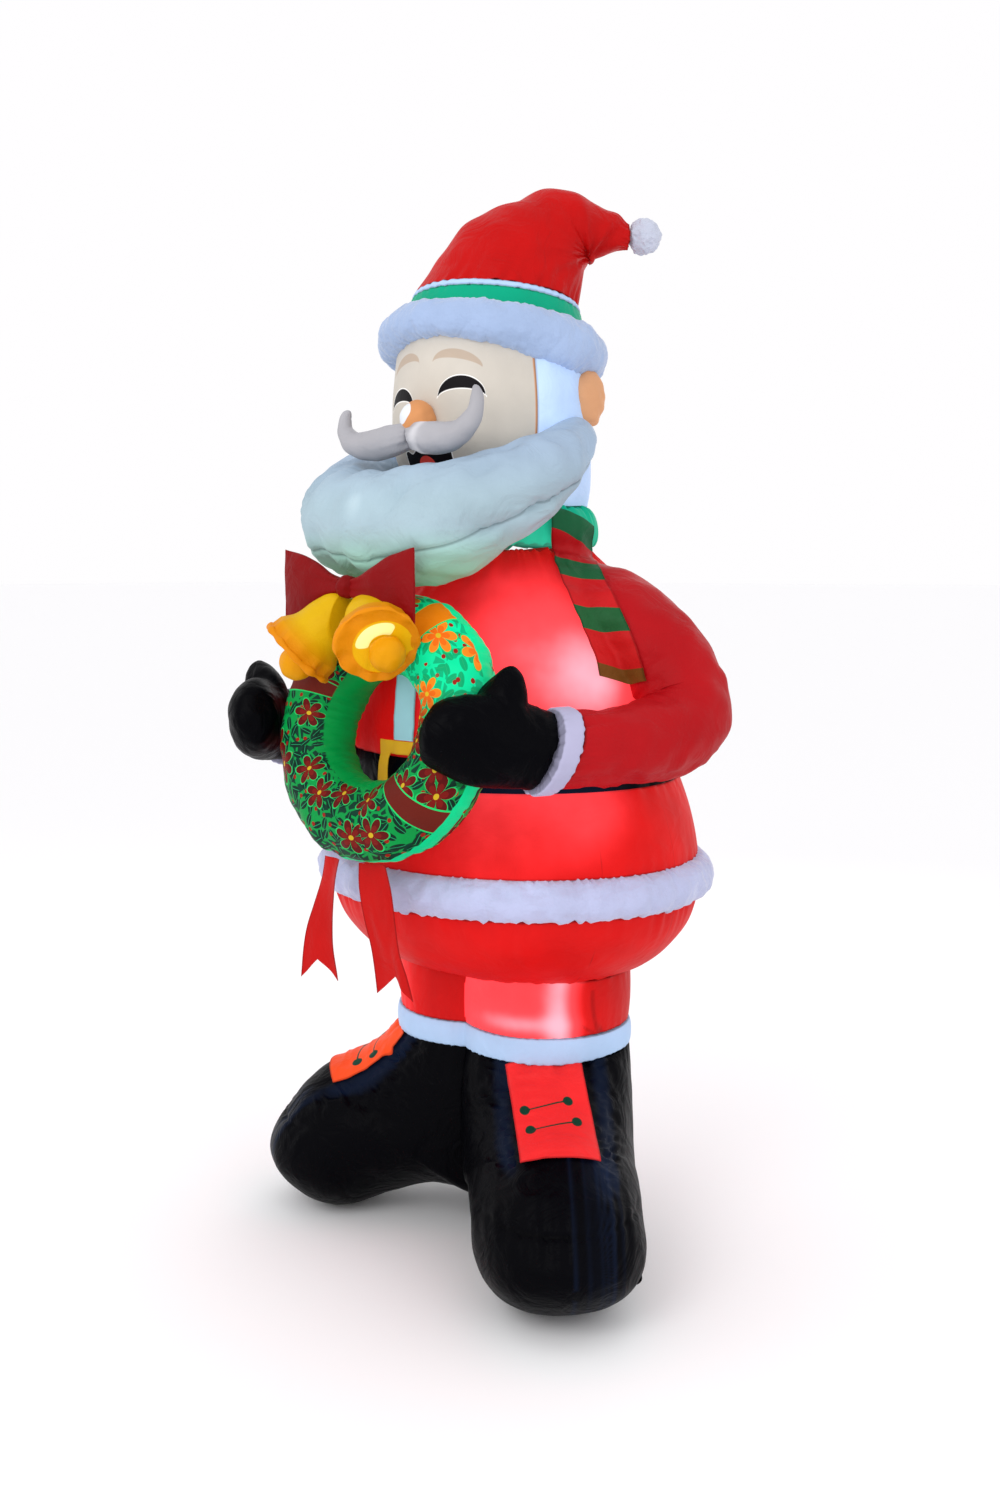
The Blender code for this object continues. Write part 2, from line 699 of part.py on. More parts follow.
def make_arm(word, side, coat, wreath):
    sleeve_path = on_side(SLEEVE, side)
    sleeve = add_piece(f"sleeve_{word}", skin(sweep(sleeve_path, 14, carried=True)), RED)
    cut_by(sleeve, coat["coat_upper"], coat["belt"], coat["coat_lower"], coat["scarf_collar"])

    wrist = Vector(sleeve_path[-1][:3])
    forward = (wrist - Vector(sleeve_path[-2][:3])).normalized()
    across = forward.cross(Z).normalized()
    along = across.cross(forward)

    rings = []
    roll_end = CUFF_LENGTH - CUFF_ROLL
    for out, drawn_in in ((SEAM_GAP, CUFF_EDGE), (CUFF_ROLL, 0), (roll_end, 0), (CUFF_LENGTH, CUFF_EDGE)):
        half_width = CUFF_RADIUS - CUFF_FLATTER - drawn_in
        rings.append(oval(wrist + forward * out, across, along, half_width, CUFF_RADIUS - drawn_in, 14))
    cuff = add_piece(f"cuff_{word}", skin(rings), WHITE)
    cut_by(cuff, coat["coat_upper"], coat["belt"])

    start = wrist + forward * (CUFF_LENGTH + SEAM_GAP)
    rings = [oval(start, across, along, *WRIST_HALF_SIZE, 14)]
    rings += sweep(on_side(MITTEN, side), 14)[1:]
    mitten = add_piece(f"mitten_{word}", skin(rings), BLACK)
    thumb = add_piece(f"thumb_{word}", skin(sweep(on_side(THUMB, side), 8, up=Y)), BLACK)
    thumb.hide_render = True
    thumb.display_type = "WIRE"
    combine(mitten, thumb, "UNION", "thumb")
    cut_by(mitten, wreath)
    return sleeve


def make_wreath(coat):
    up = Vector((0, math.sin(WREATH_LEAN), math.cos(WREATH_LEAN)))
    facing = X.cross(up)
    rings = []
    for i in range(26):
        angle = 2 * math.pi * i / 26
        out = X * math.cos(angle) + up * math.sin(angle)
        centre = WREATH_PLACE + out * WREATH_RADIUS
        rings.append(oval(centre, out, facing, WREATH_TUBE, WREATH_TUBE_DEPTH, 12))
    wreath = add_piece("wreath", skin(rings, looped=True), GREEN)
    cut_by(wreath, coat["coat_upper"])
    return wreath


def make_bow(beard, wreath, bells):
    rows = (
        (0.00, 0.26, 0.60),
        (0.20, 0.40, 0.90),
        (0.50, 0.72, 1.00),
        (0.80, 0.92, 0.75),
        (1.00, 1.00, 0.15),
    )
    half_knot = KNOT_HALF_SIZE[0] * 0.8
    knot = add_piece("bow_knot", ball(BOW_PLACE, KNOT_HALF_SIZE, 6, 10), DARK_RED)
    cut_by(knot, *bells)
    for word, side in SIDES.items():
        rings = []
        for share, tall, thick in rows:
            out = half_knot + (BOW_HALF_WIDTH - half_knot) * share
            centre = BOW_PLACE + X * side * out
            rings.append(oval(centre, Y, Z, BOW_HALF_THICKNESS * thick, BOW_HALF_HEIGHT * tall, 10))
        loop = add_piece(f"bow_loop_{word}", skin(rings), DARK_RED)
        cut_by(loop, knot, beard, wreath, *bells)


def make_bells(wreath):
    profile = (
        (0.00, 0.30),
        (0.14, 0.50),
        (0.40, 0.60),
        (0.68, 0.70),
        (0.86, 0.90),
    )
    bells = []
    for word, side in SIDES.items():
        way = Vector((BELL_WAY.x * side, BELL_WAY.y, BELL_WAY.z)).normalized()
        across = way.cross(Z).normalized()
        along = across.cross(way)
        circles = [(share * (BELL_LENGTH - BELL_LIP), radius * BELL_RADIUS) for share, radius in profile]
        circles += [(BELL_LENGTH - BELL_LIP, BELL_RADIUS), (BELL_LENGTH, BELL_RADIUS)]
        circles += [(BELL_LENGTH, BELL_RADIUS * 0.72), (BELL_LENGTH - BELL_RECESS, BELL_RADIUS * 0.66)]
        rings = [oval(BELL_KNOT + way * out, across, along, radius, radius, 16) for out, radius in circles]
        work = skin(rings)
        keep_side(work, BELL_KNOT + X * side * SEAM_GAP, X * side)
        bell = add_piece(f"bell_{word}", work, GOLD)
        cut_by(bell, wreath)
        bells.append(bell)
        mouth = BELL_KNOT + way * (BELL_LENGTH - BELL_RECESS + SEAM_GAP)
        work = ball(mouth + way * CLAPPER_RADIUS * 0.5, (CLAPPER_RADIUS,) * 3, 6, 10)
        keep_side(work, mouth, way)
        add_piece(f"bell_clapper_{word}", work, GOLD)
    return bells


def ribbon(rows, notch, columns=3):
    """A hanging strip from rows of x, y, z, half width and a twist; its end has a swallow tail."""
    outer, inner = [], []
    for i, (x, y, z, half_width, twist) in enumerate(rows):
        across = Vector((math.cos(twist), math.sin(twist), 0))
        facing = Vector((across.y, -across.x, 0))
        line = []
        for j in range(columns):
            share = 2 * j / (columns - 1) - 1
            point = Vector((x, y, z)) + across * half_width * share
            if i == len(rows) - 1:
                point.z += notch * (1 - abs(share))
            line.append(point)
        outer.append([point + facing * CLOTH / 2 for point in line])
        inner.append([point - facing * CLOTH / 2 for point in line])
    return cloth_slab(outer, inner, lambda i, j: True)


# Each ribbon tail: x, y and z of its middle, half width and twist. Both start at the wreath.
TAIL_LEFT = (
    (0.050, -RIBBON_FORWARD, RIBBON_TOP, 0.020, 0.15),
    (0.052, -0.522, 0.910, 0.034, 0.20),
    (0.070, -0.528, 0.850, 0.042, 0.10),
    (0.094, -0.534, 0.790, 0.046, -0.10),
    (0.112, -0.536, 0.740, 0.048, -0.05),
    (0.122, -0.536, 0.690, 0.052, -0.05),
)
TAIL_RIGHT = (
    (-0.072, -RIBBON_FORWARD, RIBBON_TOP, 0.018, -0.15),
    (-0.090, -0.522, 0.910, 0.028, -0.25),
    (-0.104, -0.528, 0.850, 0.034, -0.10),
    (-0.118, -0.532, 0.800, 0.038, 0.10),
    (-0.124, -0.534, 0.750, 0.042, 0.20),
    (-0.126, -0.534, 0.700, 0.046, 0.25),
)


def make_ribbons(wreath):
    for word, rows in (("left", TAIL_LEFT), ("right", TAIL_RIGHT)):
        tail = add_piece(f"ribbon_tail_{word}", ribbon(rows, RIBBON_NOTCH), RED)
        cut_by(tail, wreath)


# The scarf's end from the collar over the shoulder: x, y and z of a point near its middle line
SCARF_LINE = (
    (0.196, -0.030, 1.700),
    (0.215, -0.050, 1.640),
    (0.262, -0.085, 1.580),
    (0.310, -0.105, 1.520),
    (0.346, -0.110, 1.460),
    (0.372, -0.105, 1.400),
    (0.388, -0.100, 1.345),
)


def make_scarf_tail(coat, sleeve):
    surface = surface_of(coat["coat_upper"], coat["scarf_collar"], sleeve)
    out = Vector((0.62, -0.70, 0.35)).normalized()
    across = Vector((0.72, 0.62, -0.12)).normalized()
    starts = []
    for row in SCARF_LINE:
        middle = Vector(row) + out * 0.4
        starts.append([middle + across * SCARF_HALF_WIDTH * (j / 1.5 - 1) for j in range(4)])
    tail = add_piece("scarf_tail", laid_on(surface, starts, -out, lift=SCARF_LIFT), SCARF_RED)
    cut_by(tail, coat["scarf_collar"], sleeve)


def stand_at_middle():
    """Moves the figure so that the middle of its box's underside is the origin."""
    scene_now = bpy.context.evaluated_depsgraph_get()
    corners = []
    for piece in bpy.data.objects:
        if piece.type == "MESH" and not piece.hide_render:
            solid = piece.evaluated_get(scene_now).to_mesh()
            corners += [vertex.co.copy() for vertex in solid.vertices]
    low = [min(point[i] for point in corners) for i in range(3)]
    high = [max(point[i] for point in corners) for i in range(3)]
    figure.location = (-(low[0] + high[0]) / 2, -(low[1] + high[1]) / 2, -low[2])


clear_scene()
figure = bpy.data.objects.new("figure", None)
bpy.context.scene.collection.objects.link(figure)
boots = {word: make_boot(word, side) for word, side in SIDES.items()}
make_tether(boots["left"])
make_legs()
coat = make_coat()
make_front_trim(coat)
whole_head, nose = make_head()
brim = make_hat(whole_head)
make_ears(whole_head, brim)
beard = make_beard(whole_head, nose, coat)
wreath = make_wreath(coat)
sleeves = {word: make_arm(word, side, coat, wreath) for word, side in SIDES.items()}
bells = make_bells(wreath)
make_bow(beard, wreath, bells)
make_ribbons(wreath)
make_scarf_tail(coat, sleeves["left"])
stand_at_middle()
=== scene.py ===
"""A blow-up yard figure of a bearded man in a red suit, dressed over its fixed solids."""

import math

import bmesh
import bpy
import numpy as np
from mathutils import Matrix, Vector
from mathutils.bvhtree import BVHTree


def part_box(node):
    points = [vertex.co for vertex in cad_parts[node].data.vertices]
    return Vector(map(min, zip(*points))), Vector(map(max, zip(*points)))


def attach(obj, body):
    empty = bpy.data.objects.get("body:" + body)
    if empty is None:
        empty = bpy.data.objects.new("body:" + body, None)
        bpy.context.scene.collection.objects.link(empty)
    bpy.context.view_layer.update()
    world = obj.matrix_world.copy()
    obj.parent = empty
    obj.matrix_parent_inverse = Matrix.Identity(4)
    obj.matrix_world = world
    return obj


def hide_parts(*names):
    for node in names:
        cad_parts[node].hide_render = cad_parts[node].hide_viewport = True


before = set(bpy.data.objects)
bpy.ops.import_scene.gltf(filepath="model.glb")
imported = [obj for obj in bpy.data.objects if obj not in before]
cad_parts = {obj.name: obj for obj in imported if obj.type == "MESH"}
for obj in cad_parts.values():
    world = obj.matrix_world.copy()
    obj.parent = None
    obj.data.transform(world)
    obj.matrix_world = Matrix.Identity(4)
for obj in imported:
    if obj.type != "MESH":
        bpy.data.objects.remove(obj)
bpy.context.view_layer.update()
bpy.ops.object.select_all(action="DESELECT")

# The studio: a camera at the figure's left front, level with a standing person's eyes, a pale floor
# that runs into a white surround, and large soft lamps. Points of the figure are given from the spot
# between its ankles, which stands here in the frame.
low_corner, high_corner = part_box("trousers")
STAND = np.array(((low_corner[0] + high_corner[0]) / 2, (low_corner[1] + high_corner[1]) / 2, 0.0))
VIEW_TURN = math.radians(40)
VIEW_TILT = math.radians(6.84)
VIEW_DISTANCE = 3.55
VIEW_HEIGHT = 1.58
VIEW_ASIDE = 0.031

towards_camera = np.array((math.sin(VIEW_TURN), -math.cos(VIEW_TURN), 0))
to_the_right = np.array((math.cos(VIEW_TURN), math.sin(VIEW_TURN), 0))
eye = STAND + towards_camera * VIEW_DISTANCE - to_the_right * VIEW_ASIDE + np.array((0, 0, VIEW_HEIGHT))
bpy.ops.object.camera_add(location=eye, rotation=(math.radians(90) - VIEW_TILT, 0, VIEW_TURN))
camera = bpy.context.object
camera.data.sensor_fit = "VERTICAL"
camera.data.sensor_height = 36
camera.data.lens = 36
camera.data.dof.use_dof = False
bpy.context.scene.camera = camera
bpy.context.scene.view_settings.view_transform = "Standard"
bpy.context.scene.view_settings.look = "None"


def tint(red, green, blue):
    """A colour as a screen shows it, from 0 to 255, turned into the amounts of light that Blender takes."""
    levels = []
    for shown in (red, green, blue):
        level = shown / 255
        levels.append(level / 12.92 if level <= 0.04045 else ((level + 0.055) / 1.055) ** 2.4)
    return (*levels, 1.0)


bpy.ops.mesh.primitive_plane_add(size=300, location=(0, 0, 0))
floor = bpy.context.object
floor.name = "floor"
paper = bpy.data.materials.new("paper_floor")
paper.use_nodes = True
paper.node_tree.nodes["Principled BSDF"].inputs["Base Color"].default_value = tint(253, 253, 254)
paper.node_tree.nodes["Principled BSDF"].inputs["Roughness"].default_value = 0.9
floor.data.materials.append(paper)

surround = bpy.data.worlds.new("white_surround")
surround.use_nodes = True
surround.node_tree.nodes["Background"].inputs["Color"].default_value = (1.0, 0.99, 1.0, 1.0)
surround.node_tree.nodes["Background"].inputs["Strength"].default_value = 1.0
bpy.context.scene.world = surround


def hang_lamp(name, place, size, power):
    """A large soft lamp that faces the figure's chest."""
    bpy.ops.object.light_add(type="AREA", location=place)
    lamp = bpy.context.object
    lamp.name = name
    lamp.data.size = size
    lamp.data.energy = power
    aim = Vector((0, 0, 1.3)) - Vector(place)
    lamp.rotation_euler = aim.to_track_quat("-Z", "Y").to_euler()


hang_lamp("key_lamp", (0.6, -3.6, 3.2), 2.0, 40)
hang_lamp("side_lamp", (3.6, -1.2, 2.4), 2.0, 10)
hang_lamp("back_lamp", (-1.5, 3.4, 3.0), 2.5, 15)

# The cloth: every chamber is woven nylon, sewn along its edges and blown tight by the fan, with small
# folds where a seam gathers it. Lamps inside the figure make the cloth glow near them. The glow and
# the distance to the nearest seam are kept on the cloth's points, and its materials read them; on the
# trousers a painted shadow line is kept with the seams.
# Each lamp: x, y, z, how far it reaches, and its strength.
LAMPS = (
    (0.000, -0.060, 1.250, 0.620, 0.38),
    (0.000, -0.060, 0.780, 0.480, 0.22),
    (0.290, -0.120, 1.330, 0.095, 0.95),
    (0.190, -0.160, 1.400, 0.200, 0.62),
    (0.300, -0.140, 1.030, 0.080, 0.55),
    (0.200, -0.190, 1.060, 0.230, 0.36),
    (0.020, -0.200, 1.960, 0.180, 0.60),
)


def lamp_glow(points, lamps=LAMPS):
    """How strongly the lamps light the cloth at each point."""
    glow = np.zeros(points.shape[:-1])
    for x, y, z, reach, strength in lamps:
        away = np.linalg.norm(points - np.array((x, y, z)), axis=-1)
        glow += strength * np.exp(-((away / reach) ** 2))
    return glow


def smooth(rows, steps):
    """A smooth curve through rows of numbers, with some steps from each row to the next."""
    rows = np.array(rows, float)
    held = np.vstack((rows[0], rows, rows[-1]))
    curve = []
    for i in range(len(rows) - 1):
        a, b, c, d = held[i : i + 4]
        for step in range(steps):
            t = step / steps
            curl = 2 * a - 5 * b + 4 * c - d
            twist = 3 * b - a - 3 * c + d
            curve.append(0.5 * (2 * b + (c - a) * t + curl * t**2 + twist * t**3))
    curve.append(rows[-1])
    return np.array(curve)


def turn_round(count):
    return np.linspace(0, 2 * math.pi, count, endpoint=False)


def outward(grid, wraps=True, looped=False):
    """The outward direction at each point of a grid of rings."""
    if wraps:
        around = np.roll(grid, -1, 1) - np.roll(grid, 1, 1)
    else:
        around = np.gradient(grid, axis=1)
    along = np.roll(grid, -1, 0) - np.roll(grid, 1, 0) if looped else np.gradient(grid, axis=0)
    way = np.cross(around, along)
    way /= np.maximum(np.linalg.norm(way, axis=-1, keepdims=True), 1e-9)
    if wraps:
        from_middle = grid - grid.mean(axis=1, keepdims=True)
        if (way * from_middle).sum() < 0:
            way = -way
    return way


def press(grid, amount, **shape):
    """The grid with its points moved outwards by an amount each."""
    return grid + outward(grid, **shape) * amount[..., None]


def ripples(points, seed, size, stretch=(1, 1, 1)):
    """Soft uneven waves of about that size in metres, mostly from -1 to 1."""
    dice = np.random.default_rng(seed)
    total = np.zeros(points.shape[:-1])
    for _ in range(16):
        way = dice.normal(size=3)
        way /= np.linalg.norm(way)
        length = size * dice.uniform(0.7, 1.6)
        phase = dice.uniform(0, 2 * math.pi)
        total += np.sin((points * np.array(stretch)) @ way * 2 * math.pi / length + phase)
    return total / 4


def ripples_along(run, seed, size):
    """Ripples that change along one measure only."""
    return ripples(np.stack((run, 0 * run, 0 * run), axis=-1), seed, size)


def gathers(count, seed, folds):
    """Uneven folds round a seam, from 0 to about 2, at each of the ring's points."""
    dice = np.random.default_rng(seed)
    turn = turn_round(count)
    total = np.zeros(count)
    for _ in range(9):
        total += np.sin(turn * round(folds * dice.uniform(0.5, 1.7)) + dice.uniform(0, 2 * math.pi))
    return 1 + total / 3


def rows_apart(grid):
    """The distance of each ring from the first one, measured along the cloth."""
    steps = np.linalg.norm(np.diff(grid, axis=0), axis=-1).mean(axis=1)
    return np.concatenate(([0.0], np.cumsum(steps)))


def distance_to_line(u, v, start, end):
    """How far map points are from a straight piece of line."""
    du, dv = end[0] - start[0], end[1] - start[1]
    share = np.clip(((u - start[0]) * du + (v - start[1]) * dv) / (du * du + dv * dv), 0, 1)
    return np.hypot(u - start[0] - share * du, v - start[1] - share * dv)


SHARP_TURN = math.radians(60)


def make_cloth(name, grid, wraps=True, looped=False, capped=True, traits=None):
    """A mesh object over a grid of rings, with a map in metres and its traits as attributes."""
    rows, columns = grid.shape[:2]
    points = (grid + STAND).reshape(-1, 3)
    traits = dict(traits or {})
    traits.setdefault("lamp_glow", lamp_glow(grid))
    traits.setdefault("from_seam_and_shadow", np.full(grid.shape[:2], 1.0))
    values = {key: np.broadcast_to(value, grid.shape[:2]).reshape(-1) for key, value in traits.items()}

    width = np.linalg.norm(np.diff(grid, axis=1), axis=-1).mean(axis=0)
    across = np.concatenate(([0.0], np.cumsum(width)))
    if wraps:
        across = np.append(across, across[-1] + np.linalg.norm(grid[:, 0] - grid[:, -1], axis=-1).mean())
    down = rows_apart(grid)
    if looped:
        down = np.append(down, down[-1] + np.linalg.norm(grid[0] - grid[-1], axis=-1).mean())

    i, j = np.meshgrid(np.arange(len(down) - 1), np.arange(len(across) - 1), indexing="ij")
    i, j = i.ravel(), j.ravel()
    corners = []
    spots = []
    for di, dj in ((0, 0), (0, 1), (1, 1), (1, 0)):
        corners.append(((i + di) % rows) * columns + (j + dj) % columns)
        spots.append(np.stack((across[j + dj], down[i + di]), axis=-1))
    faces = np.stack(corners, axis=-1).tolist()
    flat_map = np.stack(spots, axis=1).reshape(-1, 2).tolist()
    points = points.tolist()
    if capped == "flat":
        for row in (0, rows - 1):
            for j in range(columns // 2 - 1):
                near, far = (j, j + 1), (columns - 2 - j, columns - 1 - j)
                faces.append([row * columns + column for column in (*near, *far)])
                flat_map += [(across[column], down[row]) for column in (*near, *far)]
    elif wraps and capped and not looped:
        for row in (0, rows - 1):
            hub = len(points)
            points.append((grid[row].mean(axis=0) + STAND).tolist())
            for key in values:
                own = values[key][row * columns : (row + 1) * columns]
                values[key] = np.append(values[key], own.mean())
            for j in range(columns):
                faces.append([row * columns + j, row * columns + (j + 1) % columns, hub])
                flat_map += [(across[j], down[row]), (across[j + 1], down[row]), (across[j], down[row])]
    mesh = bpy.data.meshes.new(name)
    mesh.from_pydata(points, [], faces)
    uv = mesh.uv_layers.new(name="cloth")
    uv.data.foreach_set("uv", np.array(flat_map).ravel())
    for key, value in values.items():
        mesh.attributes.new(key, "FLOAT", "POINT").data.foreach_set("value", value.astype(np.float32))
    work = bmesh.new()
    work.from_mesh(mesh)
    if wraps:
        bmesh.ops.recalc_face_normals(work, faces=work.faces)
        if work.calc_volume(signed=True) < 0:
            bmesh.ops.reverse_faces(work, faces=work.faces)
    work.to_mesh(mesh)
    work.free()
    mesh.shade_smooth()
    mesh.set_sharp_from_angle(angle=SHARP_TURN)
    piece = bpy.data.objects.new(name, mesh)
    bpy.context.scene.collection.objects.link(piece)
    return piece


def fit_out(piece, material, slot, *nodes, fill=1.0):
    """Gives a piece its material and its place in the frame, and hides the solids that it replaces."""
    piece.data.materials.clear()
    piece.data.materials.append(material)
    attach(piece, "root")
    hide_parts(*nodes)
    return piece


def dress(node, grid, material, slot, traits=None, looped=False, fill=1.0, kind="cloth"):
    """One chamber made over its grid, fitted out in place of the solid of that name."""
    piece = make_cloth(f"{node}_{kind}", grid, looped=looped, traits=traits)
    return fit_out(piece, material, slot, node, fill=fill)


def put(tree, kind, settings=None, inputs=None):
    """A new node in a material, with its settings, and its inputs as values or links."""
    node = tree.nodes.new("ShaderNode" + kind)
    for key, value in (settings or {}).items():
        setattr(node, key, value)
    for key, value in (inputs or {}).items():
        if isinstance(value, bpy.types.NodeSocket):
            tree.links.new(value, node.inputs[key])
        else:
            node.inputs[key].default_value = value
    return node


def reckon(tree, operation, *values, clamp=False):
    inputs = dict(enumerate(values))
    return put(tree, "Math", {"operation": operation, "use_clamp": clamp}, inputs).outputs[0]


def blend_of(tree, share, first, second, kind="MIX"):
    """Two colours mixed by a share."""
    settings = {"data_type": "RGBA", "blend_type": kind}
    return put(tree, "Mix", settings, {0: share, 6: first, 7: second}).outputs[2]


def trait(tree, name):
    return put(tree, "Attribute", {"attribute_name": name}).outputs["Fac"]


def step_at(tree, value, low, high):
    """0 below low, 1 above high, and smooth between."""
    settings = {"interpolation_type": "SMOOTHSTEP"}
    inputs = {"Value": value, "From Min": low, "From Max": high}
    return put(tree, "MapRange", settings, inputs).outputs["Result"]


def noise(tree, where, scale, detail, **more):
    inputs = {"Vector": where, "Scale": scale, "Detail": detail, **more}
    return put(tree, "TexNoise", None, inputs).outputs["Fac"]


def relief(tree, height, strength, distance, under=None):
    """Relief from a height, laid over other relief if there is any."""
    inputs = {"Height": height, "Strength": strength, "Distance": distance}
    if under is not None:
        inputs["Normal"] = under
    return put(tree, "Bump", None, inputs).outputs[0]


def nylon(
    name, day, hot, glow_gain=1.0, roughness=0.5, sheen=0.0, crease=0.35, gloss=0.10, warm=None, pattern=None
):
    """Woven nylon of a daylight colour or a pattern, which glows, and turns to the hot colour by a lamp."""
    material = bpy.data.materials.new(name)
    material.use_nodes = True
    tree = material.node_tree
    shader = tree.nodes["Principled BSDF"]
    shader.inputs["Roughness"].default_value = roughness
    shader.inputs["Sheen Weight"].default_value = sheen
    shader.inputs["Sheen Roughness"].default_value = 0.4
    shader.inputs["Specular IOR Level"].default_value = gloss
    where = put(tree, "TexCoord").outputs["Object"]

    colour = pattern(tree) if pattern else put(tree, "RGB").outputs[0]
    if not pattern:
        colour.default_value = day
    clouds = noise(tree, where, 7.0, 3.0)
    settings = {"Value": clouds, "To Min": 0.80, "To Max": 1.16}
    cloudy = put(tree, "MapRange", None, settings).outputs["Result"]
    grey = put(tree, "CombineXYZ", None, {0: cloudy, 1: cloudy, 2: cloudy}).outputs[0]
    shaded = blend_of(tree, 1.0, colour, grey, "MULTIPLY")
    # Seams are darker; on the trousers a painted shadow line is darkened with them
    on_seam_and_shadow = step_at(tree, trait(tree, "from_seam_and_shadow"), 0.001, 0.005)
    seam_and_shadow_dark = blend_of(tree, on_seam_and_shadow, (0.62, 0.62, 0.62, 1), (1, 1, 1, 1))
    shaded = blend_of(tree, 1.0, shaded, seam_and_shadow_dark, "MULTIPLY")
    tree.links.new(shaded, shader.inputs["Base Color"])

    glow = trait(tree, "lamp_glow")
    uneven = reckon(tree, "MULTIPLY", glow, cloudy)
    own = blend_of(tree, reckon(tree, "MULTIPLY", uneven, glow_gain, clamp=True), (0, 0, 0, 1), shaded)
    warming = blend_of(tree, step_at(tree, uneven, 0.40, 0.85), own, warm or hot)
    glowing = blend_of(tree, step_at(tree, uneven, 0.80, 1.40), warming, hot)
    tree.links.new(glowing, shader.inputs["Emission Color"])
    shader.inputs["Emission Strength"].default_value = 1.0

    folds = noise(tree, where, 11.0, 4.0, Distortion=1.4)
    soft = relief(tree, folds, crease, 0.012)
    fine = relief(tree, noise(tree, where, 60.0, 3.0), 0.18, 0.002, soft)
    laid_flat = put(tree, "UVMap", {"uv_map": "cloth"}).outputs[0]
    threads = []
    for direction in ("X", "Y"):
        settings = {"wave_type": "BANDS", "bands_direction": direction}
        threads.append(put(tree, "TexWave", settings, {"Vector": laid_flat, "Scale": 130.0}).outputs["Fac"])
    weave = reckon(tree, "MULTIPLY", *threads)
    woven = relief(tree, weave, 0.12, 0.0006, fine)
    tree.links.new(woven, shader.inputs["Normal"])
    return material


RED_CLOTH = nylon("red_nylon", tint(194, 14, 14), tint(255, 196, 214), glow_gain=1.1, warm=tint(255, 76, 84))
PALE_CLOTH = nylon("pale_nylon", tint(176, 204, 238), tint(225, 238, 255), glow_gain=0.25)
# The black cloth's navy glow colours are a painted sheen on it
BLACK_CLOTH = nylon(
    "black_nylon", tint(1, 1, 4), tint(24, 36, 62), roughness=0.42, crease=0.8, gloss=0.04,
    warm=tint(14, 24, 44),
)

# The coat: four level chambers up to the collar, each a tube of the same belly outline. The
# skirt under the hem, the lower coat and the upper coat are red, and the belt is black. They are sewn
# edge to edge, and each one bulges a little between its seams.
# The outline: height, half width, half depth.
COAT_OUTLINE = (
    (0.654, 0.300, 0.228),
    (0.684, 0.354, 0.286),
    (0.726, 0.400, 0.336),
    (0.784, 0.440, 0.380),
    (0.862, 0.462, 0.406),
    (0.930, 0.456, 0.404),
    (1.020, 0.430, 0.390),
    (1.110, 0.400, 0.372),
    (1.170, 0.392, 0.366),
    (1.280, 0.386, 0.356),
    (1.380, 0.364, 0.336),
    (1.480, 0.316, 0.294),
    (1.560, 0.256, 0.240),
    (1.630, 0.185, 0.180),
)
BOOT_TOP = 0.466
TROUSER_CUFF_TOP = 0.528
COAT_BOTTOM = 0.654
HEM_BOTTOM = 0.832
HEM_TOP = 0.925
BELT_BOTTOM = 1.105
BELT_TOP = 1.170
COLLAR_BOTTOM = 1.630
COLLAR_TOP = 1.725
SEAM_GAP = 0.0005
PANEL_SEAMS = (-135, -25, 2, 90, 180)
COAT_LINE = smooth(COAT_OUTLINE, 12)


def level_tube(line, low, high, rows, columns, puff=0.0):
    """Rings from one seam's height to the next on an outline, pushed out by a puff halfway."""
    share = np.linspace(0, 1, rows)
    # The rings lie closer together by the seams, where the small folds are
    share = 0.5 * share + 0.5 * (0.5 - 0.5 * np.cos(math.pi * share))
    heights = low + SEAM_GAP + (high - low - SEAM_GAP) * share
    out = puff * np.sqrt(np.maximum(0, 1 - (2 * share - 1) ** 2))
    half_width = np.interp(heights, line[:, 0], line[:, 1]) + out
    half_depth = np.interp(heights, line[:, 0], line[:, 2]) + out
    forward = np.interp(heights, line[:, 0], line[:, 3]) if line.shape[1] > 3 else np.zeros(rows)
    turn = turn_round(columns)
    x = half_width[:, None] * np.cos(turn)
    y = half_depth[:, None] * np.sin(turn) - forward[:, None]
    return np.stack((x, y, np.broadcast_to(heights[:, None], x.shape)), axis=-1)


def sewn_tube(grid, seed, low_seam, high_seam, bulge=0.0, drift=0.002, stretch=(1, 1, 0.4)):
    """A tube with the folds of its two seams. A seam is how many folds, how deep and how far they run."""
    rise = rows_apart(grid)
    share = rise / rise[-1]
    amount = bulge * np.sin(math.pi * share)[:, None] + drift * ripples(grid, seed, 0.22, stretch)
    for away, seam, number in ((rise, low_seam, 1), (rise[-1] - rise, high_seam, 2)):
        folds, depth, reach = seam
        fading = np.exp(-away / reach)[:, None]
        amount = amount - depth * fading * gathers(grid.shape[1], seed * 7 + number, folds)[None, :]
        finer = gathers(grid.shape[1], seed * 7 + number + 3, folds * 2.3)[None, :]
        amount = amount - 0.4 * depth * np.exp(-away / (reach * 0.4))[:, None] * finer
    nearest = np.minimum(rise, rise[-1] - rise)[:, None] + np.zeros(grid.shape[1])
    return press(grid, amount), nearest


def coat_panel(node, low, high, rows, seed, low_seam, high_seam, material, slot, bulge):
    grid, nearest = sewn_tube(level_tube(COAT_LINE, low, high, rows, 300), seed, low_seam, high_seam, bulge)
    angle = np.degrees(np.arctan2(grid[..., 1], grid[..., 0]))
    for panel_seam in PANEL_SEAMS:
        turned_off = np.radians(np.abs((angle - panel_seam + 180) % 360 - 180))
        nearest = np.minimum(nearest, turned_off * np.linalg.norm(grid[..., :2], axis=-1) + 0.002)
    return dress(node, grid, material, slot, {"from_seam_and_shadow": nearest})


